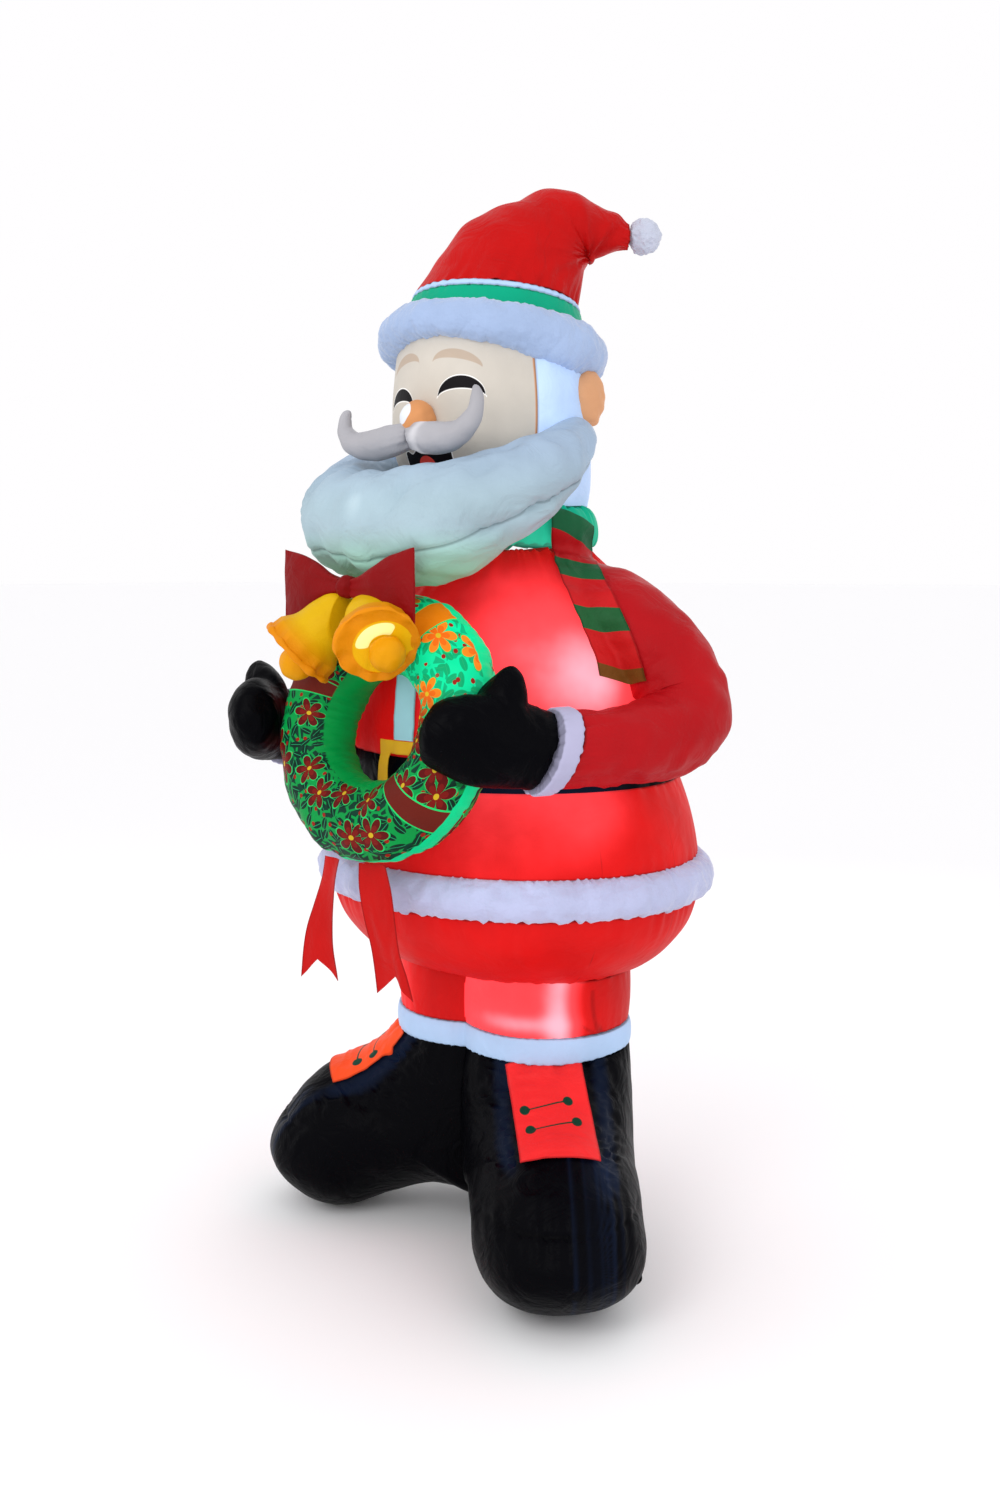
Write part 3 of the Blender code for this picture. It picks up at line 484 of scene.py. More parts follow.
RED = (RED_CLOTH, "red_cloth")
BLACK = (BLACK_CLOTH, "mitten_cloth")
COAT_PANELS = (
    ("coat_skirt", COAT_BOTTOM, HEM_BOTTOM, 60, 3, (40, 0.0016, 0.03), (60, 0.0030, 0.04), RED, 0.004),
    ("coat_lower", HEM_TOP, BELT_BOTTOM, 50, 4, (46, 0.0016, 0.03), (40, 0.0020, 0.03), RED, 0.005),
    ("belt", BELT_BOTTOM, BELT_TOP, 20, 5, (40, 0.0015, 0.02), (40, 0.0015, 0.02), BLACK, 0.001),
    ("coat_upper", BELT_TOP, COLLAR_BOTTOM, 90, 6, (40, 0.0020, 0.03), (30, 0.0060, 0.07), RED, 0.004),
)
coat = {}
for node, low, high, rows, seed, low_seam, high_seam, finish, bulge in COAT_PANELS:
    coat[node] = coat_panel(node, low, high, rows, seed, low_seam, high_seam, *finish, bulge)

# The hem: a fat ring of lilac-white plush round the coat, gathered into short uneven folds from its
# upper seam down, so that its lower edge looks ragged.
HEM_PUFF = 0.030


def plush(name, day, hot, gain=0.6, pile=170.0):
    """Short brushed pile: soft, matt, and mottled in tiny tufts."""
    material = nylon(name, day, hot, glow_gain=gain, roughness=0.9, sheen=0.5, crease=0.6)
    tree = material.node_tree
    shader = tree.nodes["Principled BSDF"]
    where = put(tree, "TexCoord").outputs["Object"]
    tufts = noise(tree, where, pile, 3.0)
    under = shader.inputs["Normal"].links[0].from_socket
    tree.links.new(relief(tree, tufts, 0.5, 0.003, under), shader.inputs["Normal"])
    return material


HEM_PLUSH = plush("lilac_plush", tint(176, 181, 212), tint(225, 225, 245))
grid = level_tube(COAT_LINE, HEM_BOTTOM, HEM_TOP, 44, 420, puff=HEM_PUFF)
rise = rows_apart(grid)
share = (rise / rise[-1])[:, None]
lumps = ripples(grid, 21, 0.060, (1, 1, 0.5)) * 0.0018 + ripples(grid, 22, 0.028, (1, 1, 0.5)) * 0.0009
ragged = gathers(420, 23, 90)[None, :] * np.exp(-rise / 0.014)[:, None] * 0.0030
gathered = gathers(420, 24, 110)[None, :] * np.exp(-(rise[-1] - rise) / 0.03)[:, None] * 0.0028
crumpled = 0.0045 * np.abs(ripples(grid, 26, 0.050, (1, 1, 0.45)))
crumpled += 0.0018 * np.abs(ripples(grid, 27, 0.026, (1, 1, 0.6)))
grid = press(grid, (lumps - crumpled) * np.sin(math.pi * share) ** 0.5 - ragged - gathered + 0.002)
grid[..., 2] -= np.exp(-rise / 0.03)[:, None] * 0.002 * (gathers(420, 25, 70)[None, :] - 1)
dress("hem_trim", grid, HEM_PLUSH, "trim_plush", kind="plush")

# The legs: one chamber in the shape of two legs that touch, over a pale cuff of the same shape. The
# trousers' cloth hangs from the skirt's seam to the cuff's, and creases between the legs.
LEG_RADIUS = 0.200
LEG_OFFSET = 0.100
TROUSER_CUFF_PUFF = 0.006


def leg_tube(low, high, rows, columns, puff):
    turn = turn_round(columns)
    share = np.linspace(0, 1, rows)
    radius = LEG_RADIUS + puff * np.sqrt(np.maximum(0, 1 - (2 * share - 1) ** 2))
    beside = LEG_OFFSET * np.abs(np.cos(turn))
    reach = beside + np.sqrt(radius[:, None] ** 2 - (LEG_OFFSET * np.sin(turn)) ** 2)
    heights = low + SEAM_GAP + (high - low - SEAM_GAP) * share
    z = np.broadcast_to(heights[:, None], reach.shape)
    return np.stack((reach * np.cos(turn), reach * np.sin(turn), z), axis=-1)


grid = leg_tube(TROUSER_CUFF_TOP, COAT_BOTTOM, 40, 300, 0.0)
grid, nearest = sewn_tube(grid, 31, (44, 0.0010, 0.02), (36, 0.0014, 0.02), 0.003)
# The left leg's lamp lights its whole side of the chamber, and the right leg is lit far out only
x, y, z = grid[..., 0], grid[..., 1], grid[..., 2]
hot_streak = np.exp(-(((x - 0.250) / 0.028) ** 2)) * (y < 0)
hot_streak += 0.8 * np.exp(-(((x - 0.17) / 0.10) ** 2 + ((z - 0.560) / 0.022) ** 2)) * (y < 0)
lit_left = 0.80 * np.clip((0.300 - x) / 0.05, 0.25, 1) + 0.42 * hot_streak
lit_right = 0.14 + 0.38 * np.clip((-x - 0.08) / 0.08, 0, 1)
glow = np.where(x > 0, lit_left * np.clip((0.12 - y) / 0.2, 0.3, 1), lit_right)
# A painted shadow: a thin dark V shows through the lit cloth, darkened in the material like a seam
V_TOPS = ((0.243, 0.632), (0.288, 0.632))
V_FOOT = (0.292, 0.522)
v_shadow = np.minimum(*(distance_to_line(x, z, top, V_FOOT) for top in V_TOPS))
nearest = np.minimum(nearest, np.where(y < 0, v_shadow, 1) + 0.0015)
dress("trousers", grid, RED_CLOTH, "red_cloth", {"from_seam_and_shadow": nearest, "lamp_glow": glow})
grid = leg_tube(BOOT_TOP, TROUSER_CUFF_TOP, 24, 300, TROUSER_CUFF_PUFF)
grid, nearest = sewn_tube(grid, 32, (60, 0.0010, 0.010), (60, 0.0014, 0.010), 0.0)
dress("trouser_cuff", grid, PALE_CLOTH, "pale_cloth", {"from_seam_and_shadow": nearest})

# The boots: one black chamber each, round underneath and at the toe, with a seam over the toe that
# puckers. The two are sewn together at the heels. A printed cloth tongue with two lace lines is sewn
# flat on each instep, and the boot's cloth is gathered along both its edges.
# One boot from its side: out and height of the instep and of the sole, and the half width.
BOOT_ROWS = (
    (0.341, 0.466, -0.059, 0.466, 0.200),
    (0.366, 0.436, -0.078, 0.380, 0.204),
    (0.398, 0.408, -0.088, 0.274, 0.206),
    (0.430, 0.389, -0.080, 0.166, 0.205),
    (0.461, 0.375, -0.045, 0.070, 0.202),
    (0.492, 0.362, 0.030, 0.018, 0.199),
    (0.520, 0.350, 0.130, 0.058, 0.194),
    (0.545, 0.335, 0.240, 0.068, 0.190),
    (0.570, 0.315, 0.350, 0.042, 0.188),
    (0.600, 0.285, 0.450, 0.003, 0.185),
    (0.630, 0.245, 0.530, 0.004, 0.166),
    (0.655, 0.205, 0.595, 0.035, 0.130),
    (0.672, 0.170, 0.640, 0.075, 0.075),
    (0.675, 0.145, 0.662, 0.105, 0.030),
)
HEEL_BACK = 0.141
FOOT_SPLAY = {"left": math.radians(42.8), "right": math.radians(56)}
ANKLE_FRONT = 0.341
TOE_TIP = 0.672
TOE_REACH = {"left": 0.088, "right": 0.000}
TOE_SEAM_HEIGHT = 0.232
TONGUE_TOP_OUT = 0.316
TONGUE_BOTTOM_OUT = {"left": 0.556, "right": 0.508}
TONGUE_TOP = 0.462
TONGUE_FALL = 0.6
TONGUE_HALF_WIDTH = 0.086
TONGUE_ASIDE = {"left": -0.006, "right": 0.016}
LACES = (((0.15, 0.47), (0.72, 0.40)), ((0.18, 0.68), (0.78, 0.62)))
LACE_HALF = 0.0023
LACE_END = 0.0112
SIDES = {"left": 1, "right": -1}
UP = np.array((0.0, 0.0, 1.0))


def foot_frame(word, side):
    """The heel corner, the way the foot points, and the way across it."""
    splay = FOOT_SPLAY[word]
    ahead = np.array((side * math.sin(splay), -math.cos(splay), 0))
    heel = np.array((side * LEG_OFFSET, 0, 0)) - ahead * HEEL_BACK
    return heel, ahead, np.array((-ahead[1], ahead[0], 0))


def bent_tube(rows, foot, ahead, across, columns):
    """Slanting rings in one bend plane, each through two opposite points of its row."""
    one = foot + ahead * rows[:, 0:1] + UP * rows[:, 1:2]
    other = foot + ahead * rows[:, 2:3] + UP * rows[:, 3:4]
    middle = (one + other) / 2
    along = (one - other) / 2
    turn = turn_round(columns)[None, :, None]
    wide = across * rows[:, 4][:, None, None] * np.cos(turn)
    return middle[:, None] + wide + along[:, None] * np.sin(turn)


def surface_under(*pieces):
    """A search tree over finished pieces, in the frame."""
    points, faces = [], []
    for piece in pieces:
        first = len(points)
        points += [vertex.co.copy() for vertex in piece.data.vertices]
        faces += [[first + i for i in face.vertices] for face in piece.data.polygons]
    return BVHTree.FromPolygons(points, faces)


def drop_onto(tree, starts, way, lift):
    """A grid of start points, each moved along a way until it meets the surface, less a lift."""
    way = Vector(way).normalized()
    landed = np.array(starts)
    for i in range(starts.shape[0]):
        for j in range(starts.shape[1]):
            hit = tree.ray_cast(Vector(starts[i, j] + STAND), way)[0]
            if hit:
                landed[i, j] = np.array(hit - way * lift) - STAND
    return landed


def eased(grid, times):
    """An open grid with its small bumps smoothed away."""
    for _ in range(times):
        grid[1:-1] = (grid[:-2] + 2 * grid[1:-1] + grid[2:]) / 4
        grid[:, 1:-1] = (grid[:, :-2] + 2 * grid[:, 1:-1] + grid[:, 2:]) / 4
    return grid


def printed_tongue(shade):
    """Warm red cloth with two dark green lace lines and their round ends."""

    def pattern(tree):
        lace = step_at(tree, trait(tree, "lace"), -0.0008, 0.0008)
        return blend_of(tree, lace, tint(6, 60, 44), shade)

    return pattern


def slab(grid, thickness, traits, name):
    """A closed thin sheet over an open grid of points."""
    away = outward(grid, wraps=False) * thickness / 2
    both = np.concatenate((grid + away, (grid - away)[:, ::-1]), axis=1)
    doubled = {}
    for key, value in traits.items():
        value = np.broadcast_to(value, grid.shape[:2])
        doubled[key] = np.concatenate((value, value[:, ::-1]), axis=1)
    return make_cloth(name, both, traits=doubled, capped="flat")


TONGUE_SHADES = {"left": tint(232, 44, 46), "right": tint(240, 78, 30)}
TONGUE_CLOTHS = {}
for word, shade in TONGUE_SHADES.items():
    cloth = f"tongue_print_{word}"
    TONGUE_CLOTHS[word] = nylon(cloth, None, tint(255, 120, 80), pattern=printed_tongue(shade), crease=0.5)
boots = {}
for word, side in SIDES.items():
    heel, ahead, across = foot_frame(word, side)
    rows = smooth(BOOT_ROWS, 10)
    for column in (0, 2):
        stretched = np.clip((rows[:, column] - ANKLE_FRONT) / (TOE_TIP - ANKLE_FRONT), 0, 1)
        rows[:, column] += TOE_REACH[word] * stretched
    grid = bent_tube(rows, heel, ahead, across, 160)
    foot = grid - heel
    out = foot @ ahead
    aside = foot @ across
    height = grid[..., 2]
    amount = 0.0020 * ripples(grid, 41 + side, 0.18) + 0.0004 * ripples(grid, 44 + side, 0.06)
    over_toe = np.clip((out - 0.52) / 0.06, 0, 1)
    to_toe_seam = np.abs(height - TOE_SEAM_HEIGHT)
    pleats = ripples_along(aside, 47 + side, 0.022)
    puckers = 0.005 * np.exp(-((to_toe_seam / 0.006) ** 2)) + 0.0045 * pleats * np.exp(-to_toe_seam / 0.03)
    amount -= over_toe * puckers
    from_tongue = np.abs(aside - TONGUE_ASIDE[word])
    tongue_edge = np.abs(from_tongue - TONGUE_HALF_WIDTH)
    by_tongue = np.clip((height - 0.27) / 0.05, 0, 1) * np.clip((out - 0.24) / 0.05, 0, 1)
    beside = np.exp(-(((tongue_edge - 0.02) / 0.05) ** 2))
    beside = beside * np.clip((from_tongue - TONGUE_HALF_WIDTH) / 0.008, 0, 1)
    slanted = np.stack((out * 0.5, aside * 0.12, height), axis=-1)
    amount -= by_tongue * beside * 0.0085 * np.abs(ripples(slanted, 51 + side, 0.026))
    under_cuff = np.exp(-(BOOT_TOP - height) / 0.03) * (out < 0.36)
    amount -= 0.003 * under_cuff * gathers(160, 53 + side, 26)[None, :]
    grid = press(grid, amount)
    grid[..., 2] = np.maximum(grid[..., 2], 0.0)
    grid[..., 0] = side * np.maximum(side * grid[..., 0], SEAM_GAP / 2)
    # A painted navy sheen beside the tongue and over the toe, kept as the black cloth's glow
    sheen = 0.75 * by_tongue * np.exp(-(((np.abs(aside) - 0.115) / 0.035) ** 2))
    painted_toe_sheen = np.exp(-(((aside - 0.070) / 0.085) ** 2)) * (0.75 + 0.5 * np.abs(pleats))
    sheen = sheen + 0.62 * over_toe * painted_toe_sheen
    traits = {"from_seam_and_shadow": to_toe_seam + (1 - over_toe), "lamp_glow": sheen}
    boots[word] = dress(f"boot_{word}", grid, BLACK_CLOTH, "boot_cloth", traits)

    drop = -(ahead + UP) / math.sqrt(2)
    length = TONGUE_BOTTOM_OUT[word] - TONGUE_TOP_OUT
    down = np.linspace(0, 1, 90)[:, None, None]
    sideways = np.linspace(-1, 1, 64)[None, :, None]
    spine = heel + ahead * (TONGUE_TOP_OUT + length * down)
    spine = spine + UP * (TONGUE_TOP - length * down * TONGUE_FALL)
    leaned = -0.018 * (1 - down) ** 1.5 if word == "left" else TONGUE_ASIDE[word]
    starts = spine + across * (TONGUE_HALF_WIDTH * sideways + leaned) - drop * 0.3
    grid = drop_onto(surface_under(boots[word]), starts, drop, 0.009)
    grid = eased(grid, 12)
    slanted = np.stack((grid @ ahead, grid @ across * 0.18, grid[..., 2]), axis=-1)
    crumpled = 0.0024 * np.abs(ripples(slanted, 61 + side, 0.035))
    crumpled = crumpled * np.clip(2.2 * (1 - np.abs(sideways[..., 0])), 0.15, 1)
    grid = press(grid, crumpled, wraps=False)
    u = 0.5 + 0.5 * np.broadcast_to(sideways[..., 0], grid.shape[:2]) * side
    v = np.broadcast_to(down[..., 0], grid.shape[:2])
    wide, tall = 2 * TONGUE_HALF_WIDTH, np.linalg.norm(np.diff(grid[:, 32], axis=0), axis=-1).sum()
    lace = np.full(u.shape, 1.0)
    for start, end in LACES:
        start = (start[0] * wide, start[1] * tall)
        end = (end[0] * wide, end[1] * tall)
        lace = np.minimum(lace, distance_to_line(u * wide, v * tall, start, end) - LACE_HALF)
        for dot in (start, end):
            lace = np.minimum(lace, np.hypot(u * wide - dot[0], 0.8 * (v * tall - dot[1])) - LACE_END)
    to_edge = np.minimum(np.minimum(u, 1 - u) * wide, np.minimum(v, 1 - v) * tall)
    traits = {"lace": lace, "from_seam_and_shadow": to_edge, "lamp_glow": 0.10}
    tongue = slab(grid, 0.002, traits, f"boot_tongue_{word}_print")
    fit_out(tongue, TONGUE_CLOTHS[word], "tongue_print", f"boot_tongue_{word}", fill=None)

# The tether: a small loop of black cord sewn into the left boot's outer edge, for a ground peg.
TETHER_PLACE = (0.630, 0.150, 0.104)
TETHER_RADIUS = 0.016
TETHER_CORD = 0.003
heel, ahead, across = foot_frame("left", 1)
place = heel + ahead * TETHER_PLACE[0] + across * TETHER_PLACE[1] + UP * TETHER_PLACE[2]
loop_out = ahead * 0.5 + across
loop_out /= np.linalg.norm(loop_out)
turns = np.linspace(-0.55 * math.pi, 0.55 * math.pi, 40)
radial = loop_out * np.cos(turns)[:, None] + UP * np.sin(turns)[:, None]
middle = place + TETHER_RADIUS * radial
level = np.cross(loop_out, UP)
turn = turn_round(14)[None, :, None]
twist = 1 + 0.12 * np.sin(turn_round(14)[None, :] * 3 + np.arange(40)[:, None] * 0.9)
round_cord = radial[:, None] * np.cos(turn) + level * np.sin(turn)
grid = middle[:, None] + TETHER_CORD * twist[..., None] * round_cord
dress("tether_loop", grid, BLACK_CLOTH, "boot_cloth", {"lamp_glow": 0.0}, fill=None, kind="cord")

# The coat's front: a pale placket strip down the middle, in two lengths, and the belt's buckle, a
# square frame of thin yellow cloth. All are flat cloth sewn on the coat.
PLACKET_HALF_WIDTH = 0.030
PLACKET_TOP = 1.400
BUCKLE_HALF_WIDTH = 0.077
FRONT_MIDDLE = -0.010
BUCKLE_BAR = 0.030
BUCKLE_OVERLAP = 0.036
PLACKET_CLOTH = nylon("placket_nylon", tint(168, 216, 232), tint(220, 240, 250), crease=0.2)
BUCKLE_CLOTH = nylon("buckle_nylon", tint(232, 176, 44), tint(255, 220, 90), crease=0.2)
coat_front = surface_under(coat["coat_upper"], coat["coat_lower"], coat["belt"])


def front_cloth(name, columns, heights, lift=0.005):
    starts = np.stack(np.meshgrid(columns, heights), axis=-1)
    starts = np.stack((starts[..., 0], np.full(starts.shape[:2], -0.9), starts[..., 1]), axis=-1)
    grid = drop_onto(coat_front, starts, (0, 1, 0), lift)
    # Over a seam the cloth runs straight across, so it takes the foremost of the neighbouring points
    above = np.vstack((grid[1:, :, 1], grid[-1:, :, 1]))
    below = np.vstack((grid[:1, :, 1], grid[:-1, :, 1]))
    grid[..., 1] = np.minimum(grid[..., 1], np.minimum(above, below))
    grid[..., 1] += 0.0008 * ripples(grid, 71, 0.04)
    return grid


for name, low, high in (
    ("placket_upper", BELT_TOP + BUCKLE_OVERLAP + 0.002, PLACKET_TOP),
    ("placket_lower", HEM_TOP + 0.045, BELT_BOTTOM - BUCKLE_OVERLAP - 0.002),
):
    columns = FRONT_MIDDLE + np.linspace(-PLACKET_HALF_WIDTH, PLACKET_HALF_WIDTH, 14)
    grid = front_cloth(name, columns, np.linspace(low, high, 50))
    edge = PLACKET_HALF_WIDTH - np.abs(grid[..., 0] - FRONT_MIDDLE)
    strip = slab(grid, 0.002, {"from_seam_and_shadow": edge, "lamp_glow": 0.12}, f"{name}_cloth")
    fit_out(strip, PLACKET_CLOTH, "placket_cloth", name, fill=None)

low, high = BELT_BOTTOM - BUCKLE_OVERLAP, BELT_TOP + BUCKLE_OVERLAP
columns = FRONT_MIDDLE + np.linspace(-BUCKLE_HALF_WIDTH, BUCKLE_HALF_WIDTH, 45)
heights = np.linspace(low, high, 47)
grid = front_cloth("belt_buckle", columns, heights)
buckle = slab(grid, 0.0025, {"from_seam_and_shadow": 1.0, "lamp_glow": 0.15}, "belt_buckle_print")
window = BUCKLE_HALF_WIDTH - BUCKLE_BAR
work = bmesh.new()
work.from_mesh(buckle.data)
inside = []
for face in work.faces:
    spot = face.calc_center_median()
    x, z = spot.x - STAND[0] - FRONT_MIDDLE, spot.z
    if abs(x) < window and low + BUCKLE_BAR < z < high - BUCKLE_BAR:
        inside.append(face)
bmesh.ops.delete(work, geom=inside, context="FACES")
rims = [edge for edge in work.edges if len(edge.link_faces) == 1]
bmesh.ops.bridge_loops(work, edges=rims)
bmesh.ops.recalc_face_normals(work, faces=work.faces)
work.to_mesh(buckle.data)
work.free()
fit_out(buckle, BUCKLE_CLOTH, "buckle_print", "belt_buckle", fill=None)

# The scarf's collar: a fat green ring between the coat and the head, pulled into small folds by both
# its seams. Its one loose end hangs over the left shoulder, a flat striped sheet.
COLLAR_PUFF = 0.022
HEAD_OUTLINE = (
    (1.725, 0.182, 0.178, 0.015),
    (1.770, 0.208, 0.206, 0.048),
    (1.840, 0.222, 0.222, 0.075),
    (1.940, 0.224, 0.224, 0.080),
    (2.060, 0.214, 0.214, 0.078),
    (2.160, 0.204, 0.204, 0.068),
)
GREEN_CLOTH = nylon("green_nylon", tint(0, 166, 128), tint(90, 240, 200), glow_gain=0.6)
HEAD_LINE = smooth(HEAD_OUTLINE, 12)
coat_end = COAT_LINE[-1]
band = np.array(((COLLAR_BOTTOM, coat_end[1], coat_end[2], 0.0), HEAD_LINE[0]))
grid = level_tube(band, COLLAR_BOTTOM, COLLAR_TOP, 40, 260, puff=COLLAR_PUFF)
grid, nearest = sewn_tube(grid, 81, (34, 0.004, 0.03), (34, 0.004, 0.03))
traits = {"from_seam_and_shadow": nearest, "lamp_glow": lamp_glow(grid) + 0.18}
COLLAR = dress("scarf_collar", grid, GREEN_CLOTH, "band_cloth", traits)

# The head: a pale hair panel behind and a cream face panel in front, sewn to each other down both
# sides. Brows, closed laughing eyes and the open mouth are printed on the face.
HAT_FOOT = np.array((0, -0.080, 2.030))
HAT_LEAN = math.radians(7)
FACE_SEAM_FORWARD = 0.168
HAT_UP = np.array((0, math.sin(HAT_LEAN), math.cos(HAT_LEAN)))
HAT_BACK = np.array((0, math.cos(HAT_LEAN), -math.sin(HAT_LEAN)))
HAT_TOP_OF_HEAD = 0.070
# Each arch: how far from the middle, half width, heights of its peak and its ends, half thickness
EYE_ARCH = (0.086, 0.050, 1.980, 1.948, 0.0130)
BROW_ARCH = (0.074, 0.055, 2.040, 2.014, 0.0100)
MOUTH_HALF_WIDTH = 0.068
MOUTH_BOTTOM = 1.790
MOUTH_TOP = 1.836


def printed_face(tree):
    """Cream cloth with tan brows, white-edged black eyes and a black mouth with a red tongue."""
    colour = tint(204, 197, 186)
    for name, low, high, shade in (
        ("brow", -0.001, 0.001, tint(188, 170, 152)),
        ("from_seam_and_shadow", 0.004, 0.007, tint(206, 150, 112)),
        ("dark_print", 0.0020, 0.0034, tint(246, 244, 240)),
        ("dark_print", -0.0005, 0.0008, tint(14, 10, 14)),
        ("tongue", -0.0006, 0.0006, tint(214, 66, 58)),
    ):
        colour = blend_of(tree, step_at(tree, trait(tree, name), low, high), shade, colour)
    return colour


FACE_CLOTH = nylon("face_print", None, tint(255, 250, 240), glow_gain=0.35, pattern=printed_face, crease=0.15)
HAIR_CLOTH = nylon("hair_nylon", tint(176, 200, 234), tint(215, 232, 255), glow_gain=0.6, crease=0.5)


def head_grid(front, rows, columns):
    """The rings of the head in front of the face seam, or behind it, and square to the hat at the top."""
    share = np.linspace(0, 1, rows)
    turn = np.linspace(0, 1, columns)
    heights = COLLAR_TOP + SEAM_GAP + (HEAD_OUTLINE[-1][0] - COLLAR_TOP - SEAM_GAP) * share
    half_width, half_depth, forward = (
        np.interp(heights, HEAD_LINE[:, 0], HEAD_LINE[:, k]) for k in (1, 2, 3)
    )
    edge = np.arcsin(np.clip((forward - FACE_SEAM_FORWARD) / half_depth, -1, 1))[:, None]
    angle = math.pi - edge + turn * (math.pi + 2 * edge) if front else edge + turn * (math.pi - 2 * edge)
    x = half_width[:, None] * np.cos(angle)
    y = half_depth[:, None] * np.sin(angle) - forward[:, None]
    z = np.broadcast_to(heights[:, None], x.shape).copy()
    top = HAT_FOOT + HAT_UP * HAT_TOP_OF_HEAD
    limit = top[2] - (y - top[1]) * HAT_UP[1] / HAT_UP[2]
    return np.stack((x, y, np.minimum(z, limit)), axis=-1)


def from_sides(grid):
    """How far each point of an open grid is from the nearer of its two sides."""
    return np.minimum(*(np.linalg.norm(grid - side, axis=-1) for side in (grid[:, :1], grid[:, -1:])))


def arch(x, z, middle, half, peak, ends, thick):
    """How far points are from a crescent that arches up, thickest in its middle; less than 0 is inside."""
    share = (np.abs(x) - middle) / half
    spine = ends + (peak - ends) * np.sqrt(np.clip(1 - share**2, 0, 1))
    body = thick * np.sqrt(np.clip(1 - share**2, 0.03, 1))
    past_end = np.hypot((np.abs(share) - 1) * half, z - ends)
    return np.where(np.abs(share) < 1, np.abs(z - spine) - body, past_end)


grid = head_grid(True, 170, 190)
x, z = grid[..., 0], grid[..., 2]
eyes = arch(x, z + 0.016 * (x < 0), *EYE_ARCH)
brow = arch(x, z + 0.16 * (np.abs(x) - 0.075), *BROW_ARCH)
upper_lip = MOUTH_TOP + 0.0035 * np.cos(x * 190)
mouth = np.maximum(np.abs(x + 0.006) - MOUTH_HALF_WIDTH, MOUTH_BOTTOM - z)
mouth = np.maximum(mouth, z - upper_lip)
tongue = np.hypot(x + 0.009, (z - 1.808) / 0.8) - 0.025
seam = from_sides(grid)
traits = {"dark_print": np.minimum(eyes, mouth), "brow": brow, "tongue": tongue, "from_seam_and_shadow": seam}
traits["lamp_glow"] = 0.30 * lamp_glow(grid)
grid = press(grid, 0.001 * ripples(grid, 91, 0.12) * np.clip(seam / 0.02, 0, 1), wraps=False)
dress("face_panel", grid, FACE_CLOTH, "face_print", traits, kind="print")

grid = head_grid(False, 110, 200)
seam = from_sides(grid)
creased = 0.004 * np.abs(ripples(grid, 93, 0.20, (1, 1, 0.6))) * np.clip(seam / 0.03, 0, 1)
away = outward(grid, wraps=False)
grid = grid + away * creased[..., None] * np.sign((away * grid).sum())
traits = {"from_seam_and_shadow": seam, "lamp_glow": lamp_glow(grid) + 0.22}
dress("head", grid, HAIR_CLOTH, "pale_cloth", traits, kind="hair")

# The ears and the nose: small sewn pouches of tan cloth on the head. The nose has a pale round painted
# highlight on its right side.
EAR_PLACE = (0.214, 0.000, 1.960)
EAR_HALF_SIZE = (0.034, 0.046, 0.064)
NOSE_PLACE = (0, -0.324, 1.898)
NOSE_HALF_SIZE = (0.039, 0.041, 0.047)
NOSE_PATCH_PLACE = (-0.014, -0.356, 1.915)
NOSE_PATCH_RADIUS = 0.025


def pouch(place, half_size, rows, columns, seed, lump=0.001):
    tilt = np.linspace(0.02, math.pi - 0.02, rows)[:, None]
    turn = turn_round(columns)[None, :]
    x = place[0] + half_size[0] * np.sin(tilt) * np.cos(turn)
    y = place[1] + half_size[1] * np.sin(tilt) * np.sin(turn)
    z = place[2] - half_size[2] * np.cos(tilt) + 0 * turn
    grid = np.stack((x, y, z), axis=-1)
    return press(grid, lump * ripples(grid, seed, 0.03))


EAR_CLOTH = nylon("ear_nylon", tint(206, 152, 112), tint(240, 180, 130), crease=0.4)


def nose_with_painted_highlight(tree):
    # The pale round patch is a painted highlight
    patch = step_at(tree, trait(tree, "patch"), -0.001, 0.001)
    return blend_of(tree, patch, tint(224, 228, 234), tint(206, 142, 92))


NOSE_CLOTH = nylon("nose_nylon", None, tint(250, 200, 140), pattern=nose_with_painted_highlight, crease=0.3)
for word, side in SIDES.items():
    place = (EAR_PLACE[0] * side, EAR_PLACE[1], EAR_PLACE[2])
    grid = pouch(place, EAR_HALF_SIZE, 40, 56, 101, 0.0015)
    dress(f"ear_{word}", grid, EAR_CLOTH, "ear_cloth")
grid = pouch(NOSE_PLACE, NOSE_HALF_SIZE, 60, 80, 103)
# The pale round patch on the nose is a painted highlight
patch = np.linalg.norm(grid - np.array(NOSE_PATCH_PLACE), axis=-1) - NOSE_PATCH_RADIUS
dress("nose", grid, NOSE_CLOTH, "nose_cloth", {"patch": patch, "lamp_glow": 0.12})

# The beard: one long fat chamber bent round the face from ear to ear, with a seam along its lower
# front that gathers it. The moustache is two curled horns sewn to the face under the nose.
# The middle lines: x, y, z, half width across and half height, at the figure's left side.
BEARD_HALF = (
    (0.000, -0.398, 1.666, 0.120, 0.120),
    (0.134, -0.380, 1.688, 0.116, 0.114),
    (0.230, -0.278, 1.750, 0.095, 0.090),
    (0.256, -0.168, 1.810, 0.070, 0.067),
    (0.240, -0.078, 1.864, 0.048, 0.044),
    (0.222, -0.040, 1.890, 0.022, 0.026),
)
MOUSTACHE = (
    (0.000, -0.336, 1.868, 0.026, 0.026),
    (0.040, -0.352, 1.862, 0.034, 0.036),
    (0.095, -0.358, 1.856, 0.034, 0.038),
    (0.150, -0.358, 1.866, 0.026, 0.030),
    (0.184, -0.352, 1.900, 0.018, 0.020),
    (0.188, -0.346, 1.938, 0.013, 0.014),
    (0.176, -0.340, 1.962, 0.007, 0.007),
)
RIGHT_HORN_OUT = 0.016
RIGHT_HORN_SAG = 0.030


